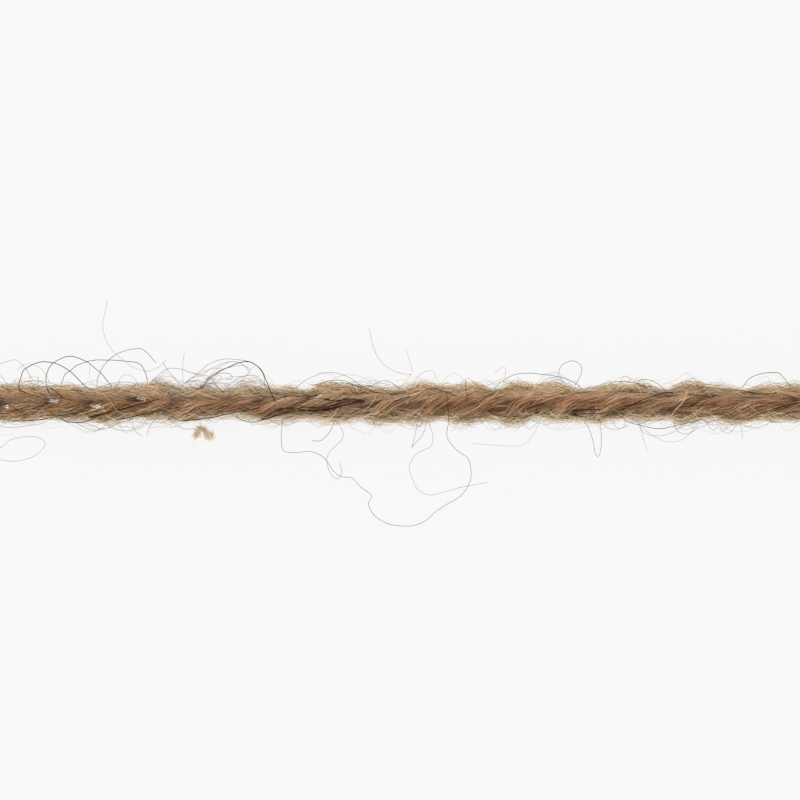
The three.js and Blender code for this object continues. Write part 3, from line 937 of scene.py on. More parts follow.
def softenNormals(mesh, share):  # fibres take some of their shading from the strand's own roundness
    own = readVectors(mesh, mesh.vertices, "normal")
    facing = readVectors(mesh, mesh.attributes["facing"].data, "vector")
    places = readVectors(mesh, mesh.vertices, "co")
    fromAxis = places * (0, 1, 1) - (0, 0, chain["axisHeight"] * mm)
    fromAxis /= np.maximum(np.linalg.norm(fromAxis, axis=1), 1e-6)[:, None]
    mixed = own * (1 - share) + (facing + fromAxis) * share / 2
    mixed /= np.maximum(np.linalg.norm(mixed, axis=1), 1e-6)[:, None]
    mesh.attributes.remove(mesh.attributes["facing"])
    mesh.normals_split_custom_set_from_vertices(mixed)


# routes that the fibres follow

plyForm = {
    "step": 0.09,  # pitches between the points of a route
    "fewest": 5,  # points; a shorter route, cut off at an end of the strand, is left out
}


def plyRoutes():
    routes = []
    for tip in tips:
        for rows, mirror in ((legRows, 1), (legRows, -1), (backRows, 1)):
            steps = round((rows[-1][0] - rows[0][0]) / plyForm["step"])
            route = []
            for step in range(steps + 1):
                along = rows[0][0] + (rows[-1][0] - rows[0][0]) * step / steps
                x = tip - along * chain["pitch"]
                if abs(x) > chain["length"] / 2:
                    continue
                sway, girth = readRow(swayRows, x, 1), readRow(swayRows, x, 2)
                around = math.radians(mirror * readRow(rows, along, 1) + readRow(faceTurns, x, 1))
                outward = Vector((0, math.sin(around), math.cos(around)))
                centre = outward * readRow(rows, along, 2) * girth
                route.append({"place": Vector((x, sway, chain["axisHeight"])) + centre,
                              "outward": outward, "plyRadius": readRow(rows, along, 3) * girth * mm})
            if len(route) >= plyForm["fewest"]:
                routes.append(route)
    return routes


def sideRoutes(radius, ends):  # along the strand's axis, facing its two sides and a little up
    first, last = ends
    steps, outer = fuzzForm["routeSteps"], fuzzForm["outerRoute"]
    routes = []
    for side, wider in ((1, 1.0), (1, outer), (-1, 1.0), (-1, outer)):
        route = []
        for step in range(steps + 1):
            x = first + (last - first) * step / steps
            girth = radius * wider * readRow(swayRows, x, 2)
            route.append({"place": Vector((x, readRow(swayRows, x, 1), chain["axisHeight"])),
                          "outward": Vector((0, side, fuzzForm["facingUp"])).normalized(),
                          "plyRadius": girth * mm})
        routes.append(route)
    return routes


endForm = {
    "places": (41.3, 41.7, 42.1, 42.5),  # mm from the middle of the strand
    "rings": ((0.0, 1), (0.45, 5), (0.9, 10)),  # mm from the axis, and how many stand there
    "radius": 0.36,  # mm
}


def endRoutes():  # short ones that stand out of the two cut ends
    routes = []
    for end in (-1, 1):
        for ring, count in endForm["rings"]:
            for number in range(count):
                turn = 2 * math.pi * number / count
                y, z = ring * math.cos(turn), chain["axisHeight"] + ring * math.sin(turn)
                routes.append([{"place": Vector((end * x, y, z)), "outward": Vector((0, 0, 1)),
                                "plyRadius": endForm["radius"] * mm} for x in endForm["places"]])
    return routes


# each layer's values for the tree, and how much of its shading it takes from the strand's roundness
fibreLayers = {
    "plyFibres": {
        "Count": 5200, "Points": 7, "Span Min": 0.3, "Span Max": 0.8, "Spread": 1.8, "Drift": 0.8,
        "Depth Min": 0.74, "Depth Max": 0.92, "Wander": 0.06 * mm, "Wander Scale": 500.0,
        "Lift": 0.12 * mm, "Lift Power": 2.0, "Arch Share": 0.5, "Thickness": 0.044 * mm,
        "Taper": 0.5, "Ply Tone": 0.15, "Seed": 11, "softness": 0.5,
    },
    "combedFibres": {
        "Count": 5200, "Points": 7, "Span Min": 0.3, "Span Max": 0.8, "Spread": 1.6, "Drift": 1.2,
        "Depth Min": 0.8, "Depth Max": 0.98, "Wander": 0.1 * mm, "Wander Scale": 600.0,
        "Lift": 0.2 * mm, "Lift Power": 2.5, "Arch Share": 0.4, "Thickness": 0.046 * mm,
        "Taper": 0.5, "Ply Tone": 0.15, "Seed": 23, "softness": 0.25,
    },
    "goldenFibres": {
        "Count": 2600, "Points": 10, "Span Min": 0.3, "Span Max": 1.0, "Spread": 1.8, "Drift": 1.8,
        "Depth Min": 0.88, "Depth Max": 1.06, "Wander": 0.2 * mm, "Wander Scale": 500.0,
        "Lift": 0.3 * mm, "Lift Power": 3.0, "Arch Share": 0.5, "Thickness": 0.042 * mm,
        "Taper": 0.5, "Ply Tone": 0.1, "Seed": 37, "softness": 0.25,
    },
    "darkFibres": {
        "Count": 760, "Points": 10, "Span Min": 0.3, "Span Max": 1.0, "Spread": 1.4, "Drift": 1.2,
        "Depth Min": 0.92, "Depth Max": 1.04, "Wander": 0.14 * mm, "Wander Scale": 450.0,
        "Lift": 0.2 * mm, "Lift Power": 3.0, "Arch Share": 0.7, "Thickness": 0.036 * mm,
        "Taper": 0.4, "Ply Tone": 0.0, "Seed": 41, "softness": 0.5,
    },
    "edgeFibres": {
        "Count": 2300, "Points": 11, "Span Min": 0.01, "Span Max": 0.04, "Spread": 0.6, "Drift": 1.1,
        "Depth Min": 0.88, "Depth Max": 1.08, "Wander": 0.3 * mm, "Wander Scale": 1000.0,
        "Lift": 0.5 * mm, "Lift Power": 2.0, "Arch Share": 0.6, "Thickness": 0.036 * mm,
        "Taper": 0.5, "Ply Tone": 0.0, "Seed": 47, "softness": 0.2,
    },
    "haloFibres": {
        "Count": 1300, "Points": 15, "Span Min": 0.015, "Span Max": 0.06, "Spread": 1.1, "Drift": 0.8,
        "Depth Min": 0.95, "Depth Max": 1.05, "Wander": 0.34 * mm, "Wander Scale": 750.0,
        "Lift": 1.3 * mm, "Lift Power": 3.2, "Arch Share": 0.75, "Thickness": 0.025 * mm,
        "Taper": 0.5, "Ply Tone": 0.0, "Seed": 53, "softness": 0.2,
    },
    "curlFibres": {
        "Count": 150, "Points": 19, "Span Min": 0.1, "Span Max": 0.35, "Spread": 0.8, "Drift": 0.8,
        "Depth Min": 0.95, "Depth Max": 1.1, "Wander": 0.46 * mm, "Wander Scale": 550.0,
        "Lift": 1.4 * mm, "Lift Power": 1.6, "Arch Share": 0.8, "Thickness": 0.034 * mm,
        "Taper": 0.4, "Ply Tone": 0.0, "Seed": 59, "softness": 0.2,
    },
    "endFibres": {
        "Count": 900, "Points": 5, "Span Min": 0.5, "Span Max": 0.9, "Spread": 3.14, "Drift": 0.6,
        "Depth Min": 0.05, "Depth Max": 1.0, "Wander": 0.1 * mm, "Wander Scale": 900.0,
        "Lift": 0.15 * mm, "Lift Power": 2.0, "Arch Share": 0.3, "Thickness": 0.04 * mm,
        "Taper": 0.3, "Ply Tone": 0.2, "Seed": 67, "softness": 0.2,
    },
}


def makeFibres(name, routes, material, fit=None):
    layer = fibreLayers[name]
    host = makeHost(name, routes, ("outward", "plyRadius"))
    values = dict(layer)
    values["Floor"] = layer["Thickness"] * fibreShape["aboveTable"]
    values["Material"] = material
    piece = grow(host, fibreTree, values)
    if fit:
        fitSides(piece.data, fit)
    sinkHollows(piece.data)
    clearEyelets(piece.data, layer["Points"])
    softenNormals(piece.data, layer["softness"])
    return piece


# hairs placed one by one: thickness, shade from black (0) to pale (1), height off the table, and places (x,
# y)

looseHairs = {
    "a": (0.085, 0.03, 1.4, [
        (-33.2, 0.85), (-33.7, 1.3), (-33.7, 2.1), (-33.55, 2.75), (-33.2, 3.13), (-32.4, 3.5),
        (-31.6, 3.64), (-30.7, 3.53), (-30.0, 3.25), (-29.2, 2.7), (-28.4, 1.95), (-27.6, 1.15)]),
    "b": (0.07, 0.12, 1.95, [
        (-31.1, 0.9), (-31.3, 1.64), (-31.4, 2.3), (-31.07, 3.19), (-30.4, 3.77), (-29.7, 4.07),
        (-29.1, 4.13), (-28.4, 3.93), (-27.6, 3.5), (-26.6, 2.69), (-25.9, 1.88), (-25.6, 1.5)]),
    "c": (0.062, 0.15, 0.85, [
        (-30.1, 1.4), (-30.0, 2.0), (-29.8, 2.5), (-29.3, 2.88), (-28.7, 3.35), (-28.0, 3.62),
        (-27.2, 3.78), (-25.9, 3.8), (-24.4, 3.68), (-23.3, 3.55), (-22.8, 3.0), (-22.4, 1.8)]),
    "d": (0.052, 0.2, 2.5, [
        (-26.9, 1.3), (-26.8, 2.2), (-26.1, 3.5), (-24.9, 4.4), (-23.3, 4.8), (-22.5, 4.5),
        (-21.6, 3.5)]),
    "e": (0.03, 0.45, 1.5, [
        (-26.0, 9.2), (-26.2, 8.0), (-26.4, 6.9), (-26.1, 5.6), (-25.3, 4.4), (-23.8, 3.2), (-22.4, 2.8),
        (-21.4, 3.2), (-20.8, 3.8)]),
    "g": (0.085, 0.05, 1.6, [
        (-20.9, 1.5), (-20.0, 1.25), (-19.0, 1.08), (-18.2, 1.15), (-17.6, 1.4), (-16.9, 2.2),
        (-15.4, 3.1), (-13.8, 3.65), (-12.6, 3.2), (-11.8, 1.9), (-11.4, 0.9), (-11.0, 0.1)]),
    "h": (0.045, 0.3, 1.0, [
        (-19.1, 1.7), (-18.0, 2.6), (-16.9, 3.5), (-15.6, 3.9), (-14.2, 3.8), (-13.0, 3.5), (-12.2, 2.6),
        (-12.0, 1.6)]),
    "n": (0.055, 0.12, 1.4, [
        (8.3, 1.2), (9.3, 2.1), (10.7, 2.6), (12.4, 2.55), (14.2, 2.3), (15.3, 1.9), (16.2, 1.2)]),
    "o": (0.045, 0.2, 0.8, [
        (14.6, 1.8), (14.1, 2.6), (14.5, 3.4), (15.4, 3.75), (16.1, 3.3), (16.1, 2.5), (15.5, 1.5)]),
    "p": (0.042, 0.2, 1.0, [
        (15.9, -1.2), (16.8, -2.3), (17.2, -3.6), (17.4, -4.6), (17.65, -4.75), (17.85, -4.2),
        (17.9, -3.0), (17.8, -1.7)]),
    "q": (0.06, 0.12, 1.4, [
        (30.4, 1.4), (31.1, 2.2), (32.4, 2.65), (33.6, 2.65), (34.2, 2.1), (34.8, 1.3)]),
    "r": (0.065, 0.1, 1.2, [
        (19.3, -1.0), (20.3, -1.7), (21.8, -2.1), (23.1, -2.3), (24.6, -2.0), (26.8, -1.5)]),
    "m": (0.035, 0.5, 1.7, [(-2.7, 6.6), (-2.4, 5.1), (-1.8, 3.8), (-0.9, 3.0), (0.1, 2.6), (1.0, 2.5)]),
    "f": (0.034, 0.3, 0.3, [
        (-37.6, -1.6), (-37.2, -2.8), (-36.0, -4.1), (-34.7, -3.3), (-33.3, -3.0), (-32.2, -3.1),
        (-31.6, -3.7), (-32.5, -4.7), (-34.2, -5.2), (-36.2, -4.9), (-38.2, -3.6), (-39.1, -1.9)]),
    "i": (0.046, 0.2, 0.15, [
        (-10.4, -1.4), (-10.6, -3.0), (-10.4, -4.2), (-9.6, -4.45), (-8.0, -4.35), (-6.8, -4.9),
        (-5.9, -6.1), (-5.1, -6.6), (-4.3, -6.7), (-3.5, -7.5), (-2.5, -8.3), (-2.8, -9.0), (-2.2, -10.1),
        (-1.0, -10.8), (0.6, -11.0), (2.1, -10.6), (3.6, -9.4), (5.4, -8.3), (6.3, -6.8), (6.1, -5.1),
        (5.0, -4.2), (4.2, -3.0), (4.4, -1.4)]),
    "j": (0.034, 0.3, 0.65, [
        (2.4, -1.4), (2.9, -2.8), (2.7, -3.9), (1.4, -4.6), (0.8, -5.8), (1.1, -6.7), (1.5, -7.6),
        (2.6, -8.2), (4.0, -7.9), (5.6, -7.5), (7.8, -7.1)]),
    "k": (0.034, 0.35, 0.7, [
        (-5.8, -1.5), (-5.2, -2.3), (-5.1, -3.2), (-6.0, -4.1), (-6.5, -4.9), (-6.3, -6.1), (-5.6, -6.8),
        (-5.2, -6.2), (-5.4, -5.2)]),
    "edgeArc": (0.038, 0.6, 1.6, [
        (-39.2, 1.6), (-38.0, 2.7), (-36.6, 3.2), (-35.2, 3.57), (-34.3, 3.8), (-33.9, 3.66),
        (-33.4, 3.26), (-33.07, 2.8), (-32.5, 1.9)]),
    "secondArc": (0.034, 0.65, 1.3, [
        (-34.0, 2.9), (-33.5, 3.4), (-33.0, 3.48), (-32.4, 3.3), (-31.9, 3.0), (-31.4, 2.4),
        (-31.1, 1.7)]),
    "innerDrop": (0.03, 0.6, 1.1, [(-33.2, 2.9), (-32.9, 2.5), (-32.8, 1.8)]),
    "edgeBow": (0.044, 0.4, 1.8, [
        (-34.9, 1.4), (-34.4, 1.64), (-33.7, 1.82), (-32.9, 1.93), (-32.2, 1.93), (-31.6, 1.88),
        (-30.9, 1.7), (-30.2, 1.5)]),
    "shortPost": (0.036, 0.3, 1.6, [(-32.15, 2.35), (-32.1, 1.6)]),
    "farLeft": (0.034, 0.5, 1.2, [(-35.7, 2.6), (-35.2, 2.1), (-34.9, 1.5)]),
    "paleDrop": (0.032, 0.8, 1.0, [(-27.6, 3.5), (-27.6, 2.3), (-27.4, 1.95), (-27.1, 1.7)]),
    "risingEdge": (0.046, 0.25, 1.9, [
        (-26.7, 1.3), (-25.9, 1.65), (-24.7, 1.85), (-23.7, 1.75), (-23.1, 1.5)]),
    "smallArc": (0.034, 0.4, 1.9, [(-25.1, 1.5), (-24.8, 2.2), (-24.3, 2.5), (-23.7, 2.3), (-23.2, 1.6)]),
    "brownArc": (0.046, 0.6, 1.2, [
        (-22.2, 1.5), (-21.9, 2.0), (-21.2, 2.65), (-20.6, 3.03), (-19.7, 3.03), (-18.9, 2.8),
        (-17.9, 2.55), (-16.95, 2.3), (-16.3, 1.6), (-15.8, 1.0)]),
    "shortDark": (0.045, 0.2, 2.0, [(-21.0, 3.55), (-20.6, 2.9), (-19.9, 2.06), (-19.4, 1.5)]),
    "upright": (0.032, 0.5, 1.5, [(-19.25, 1.3), (-19.3, 2.8), (-19.3, 3.5), (-19.15, 4.4)]),
    "curl": (0.05, 0.15, 2.1, [
        (-17.6, 1.2), (-17.1, 1.84), (-16.55, 2.3), (-16.1, 2.58), (-15.5, 2.64), (-15.1, 2.55),
        (-14.9, 2.3), (-14.93, 2.1), (-15.2, 2.03), (-15.45, 2.12)]),
    "innerArc": (0.05, 0.3, 1.9, [
        (-15.76, 0.87), (-15.5, 1.27), (-14.9, 1.75), (-14.26, 2.22), (-13.3, 2.46), (-12.8, 2.38),
        (-12.2, 1.9), (-11.7, 1.35), (-11.5, 1.04)]),
    "shortEdge": (0.045, 0.25, 1.8, [
        (-18.9, 1.75), (-18.46, 1.96), (-18.1, 1.98), (-17.6, 1.93), (-17.3, 1.8)]),
    "paleRise": (0.034, 0.7, 1.4, [
        (-18.7, 2.2), (-17.9, 2.55), (-17.1, 2.9), (-16.3, 3.06), (-15.6, 3.0)]),
    "paleSlant": (0.034, 0.65, 1.6, [
        (-17.2, 1.9), (-16.9, 2.38), (-16.3, 2.98), (-15.7, 3.38), (-15.05, 3.69)]),
    "smallLoop": (0.036, 0.55, 1.5, [
        (-16.7, 1.6), (-16.4, 2.22), (-16.1, 2.43), (-15.8, 2.22), (-16.1, 1.9), (-16.4, 1.8)]),
    "brownFall": (0.05, 0.5, 1.9, [
        (-17.2, 1.67), (-16.6, 1.75), (-16.3, 1.5), (-15.9, 1.04), (-15.76, 0.8)]),
    "lowWave": (0.036, 0.5, 1.7, [
        (-17.2, 1.5), (-16.6, 1.71), (-16.1, 1.73), (-15.5, 1.71), (-15.0, 1.5)]),
    "lowBow": (0.042, 0.45, 1.7, [
        (-14.5, 1.84), (-13.95, 1.93), (-13.3, 1.93), (-12.7, 1.87), (-12.2, 1.7), (-11.8, 1.3)]),
    "crossRise": (0.034, 0.6, 1.2, [(-14.2, 1.3), (-13.9, 2.1), (-13.3, 2.9), (-12.9, 3.3)]),
    "lightArc": (0.042, 0.55, 1.3, [
        (-9.3, 1.3), (-8.2, 2.1), (-6.8, 2.65), (-5.4, 2.6), (-4.2, 2.1), (-3.5, 1.5)]),
    "topEdge": (0.06, 0.2, 1.8, [(-7.8, 1.5), (-6.3, 1.95), (-4.9, 1.95), (-3.7, 1.4), (-2.4, 1.0)]),
    "topBump": (0.05, 0.2, 1.8, [(-2.9, 1.3), (-1.7, 1.9), (-0.8, 1.8), (0.0, 1.2)]),
    "paleFork": (0.038, 0.75, 1.4, [
        (0.5, 4.8), (0.85, 3.8), (1.05, 3.1), (1.08, 2.6), (0.6, 2.1), (0.2, 1.6)]),
    "paleCurl": (0.034, 0.7, 1.2, [
        (1.2, 1.6), (1.5, 2.2), (1.8, 2.55), (2.4, 2.8), (3.0, 2.84), (3.15, 2.4), (3.6, 1.7)]),
    "edgeTick": (0.036, 0.6, 1.6, [(5.3, 1.6), (5.7, 2.05), (6.05, 2.15), (6.4, 1.95), (6.9, 1.65)]),
    "paleKnot": (0.036, 0.75, 1.1, [
        (7.6, 1.5), (8.5, 1.93), (9.25, 2.25), (9.4, 2.7), (9.3, 3.2), (9.0, 3.05), (8.4, 2.7)]),
    "rightEdge": (0.055, 0.2, 1.6, [(17.2, 1.4), (19.0, 1.85), (20.8, 1.8), (22.4, 1.4), (23.8, 0.9)]),
    "tinyLoop": (0.034, 0.4, 1.3, [(19.5, 1.6), (19.8, 2.3), (20.3, 2.3), (20.6, 1.6)]),
    "rightSlope": (0.055, 0.2, 1.9, [(20.6, 1.9), (22.0, 2.05), (23.0, 1.6), (23.7, 0.9)]),
    "lowArc": (0.045, 0.4, 1.5, [(24.2, 1.5), (25.8, 1.95), (27.4, 1.6)]),
    "underFirst": (0.04, 0.6, 0.8, [
        (-35.6, -2.0), (-35.0, -2.18), (-34.2, -2.18), (-33.5, -2.09), (-32.65, -1.98), (-32.1, -1.89),
        (-31.5, -1.7), (-30.8, -1.3)]),
    "underSecond": (0.036, 0.35, 0.9, [
        (-28.9, -1.4), (-28.6, -1.8), (-28.0, -2.23), (-27.4, -2.43), (-26.85, -2.45), (-26.3, -2.34),
        (-25.8, -2.16), (-25.1, -1.87), (-24.3, -1.63), (-23.7, -1.4)]),
    "underTwin": (0.034, 0.35, 0.7, [
        (-28.3, -1.4), (-27.9, -1.8), (-27.4, -2.04), (-26.85, -2.28), (-26.4, -2.36)]),
    "underThird": (0.036, 0.3, 0.6, [
        (-26.4, -1.4), (-26.1, -1.8), (-25.8, -2.13), (-25.1, -2.4), (-24.5, -2.5), (-23.9, -2.45),
        (-23.2, -2.16), (-22.7, -1.8), (-22.4, -1.3)]),
    "underHook": (0.034, 0.3, 1.1, [(-23.8, -1.4), (-23.6, -2.4), (-22.9, -3.0)]),
    "underTick": (0.034, 0.3, 0.9, [(-22.5, -2.9), (-22.3, -2.2), (-21.8, -1.5)]),
    "underFourth": (0.036, 0.35, 0.7, [
        (-20.3, -1.4), (-20.0, -1.86), (-19.7, -2.1), (-19.3, -2.3), (-18.8, -2.37), (-18.2, -2.3)]),
    "thickTip": (0.06, 0.62, 0.9, [(-5.8, -1.6), (-6.3, -2.7), (-7.1, -3.4), (-7.8, -3.35)]),
    "forkLeft": (0.04, 0.35, 0.7, [(1.6, -1.6), (1.3, -3.0), (1.05, -4.0)]),
    "forkRight": (0.04, 0.6, 0.9, [(2.4, -1.6), (2.0, -2.9), (1.1, -3.9)]),
    "underFifth": (0.034, 0.5, 0.8, [(10.8, -1.6), (11.5, -2.35), (12.4, -1.5)]),
    "faintSag": (0.026, 0.5, 0.3, [(6.4, -3.6), (8.6, -3.8), (10.7, -3.8), (11.8, -3.0), (12.4, -1.6)]),
    "underSixth": (0.034, 0.35, 1.0, [(17.6, -1.4), (18.4, -2.2), (19.4, -2.35), (20.3, -2.0)]),
    "underLoop": (0.038, 0.3, 0.7, [
        (24.3, -1.3), (24.4, -1.9), (24.5, -2.28), (24.8, -2.59), (25.2, -2.75), (25.7, -2.73),
        (26.2, -2.45), (26.6, -2.18), (27.1, -2.05), (27.5, -1.5)]),
    "loopTwin": (0.032, 0.6, 0.9, [
        (24.0, -1.4), (24.7, -2.3), (25.1, -2.1), (25.6, -2.0), (26.1, -2.3), (26.5, -1.9)]),
    "lowFlat": (0.034, 0.6, 1.0, [
        (27.1, -1.5), (27.5, -1.9), (28.3, -1.96), (29.0, -2.0), (29.7, -1.87), (30.4, -1.6)]),
    "brownBow": (0.038, 0.5, 0.8, [
        (29.6, -1.5), (30.3, -2.0), (31.0, -2.16), (31.6, -2.23), (32.3, -2.04), (32.7, -1.82),
        (33.2, -1.3)]),
    "edgeSag": (0.046, 0.3, 1.4, [
        (20.2, -1.1), (20.6, -1.4), (21.2, -1.56), (21.9, -1.62), (22.6, -1.56), (23.2, -1.46),
        (23.9, -1.15)]),
    "paleSag": (0.034, 0.6, 0.6, [
        (20.9, -1.6), (21.5, -2.45), (21.9, -2.77), (22.5, -2.91), (23.2, -2.95), (23.8, -2.82),
        (24.6, -2.5), (25.0, -1.9)]),
    "curlRise": (0.04, 0.6, 1.6, [
        (-19.4, 1.5), (-18.6, 2.1), (-17.6, 2.5), (-16.6, 3.1), (-15.4, 3.6), (-14.3, 3.55), (-13.6, 3.1),
        (-13.3, 2.5)]),
    "curlLow": (0.04, 0.6, 1.5, [
        (-17.9, 1.3), (-17.2, 2.1), (-16.2, 2.75), (-15.0, 3.2), (-13.9, 3.3), (-13.2, 2.9)]),
    "curlCross": (0.036, 0.65, 1.8, [
        (-18.4, 2.6), (-17.2, 2.2), (-16.0, 2.1), (-14.8, 2.3), (-13.6, 2.2), (-12.7, 1.7)]),
    "leftHook": (0.032, 0.4, 0.9, [(18.9, -1.5), (19.2, -2.2), (19.9, -2.23), (20.0, -1.5)]),
    "zigzag": (0.042, 0.35, 1.1, [
        (26.8, -1.3), (27.4, -2.0), (27.9, -2.5), (28.3, -2.05), (28.7, -2.5), (29.2, -2.75),
        (29.7, -2.3), (30.1, -1.6)]),
    "underWide": (0.028, 0.55, 0.4, [
        (21.0, -1.7), (22.6, -3.0), (24.2, -3.5), (25.4, -3.1), (26.6, -1.8)]),
    "underTail": (0.03, 0.4, 0.8, [(21.2, -1.6), (21.6, -3.0), (22.0, -4.2)]),
    "rightTail": (0.03, 0.5, 0.9, [(30.2, -1.4), (30.5, -3.1)]),
}

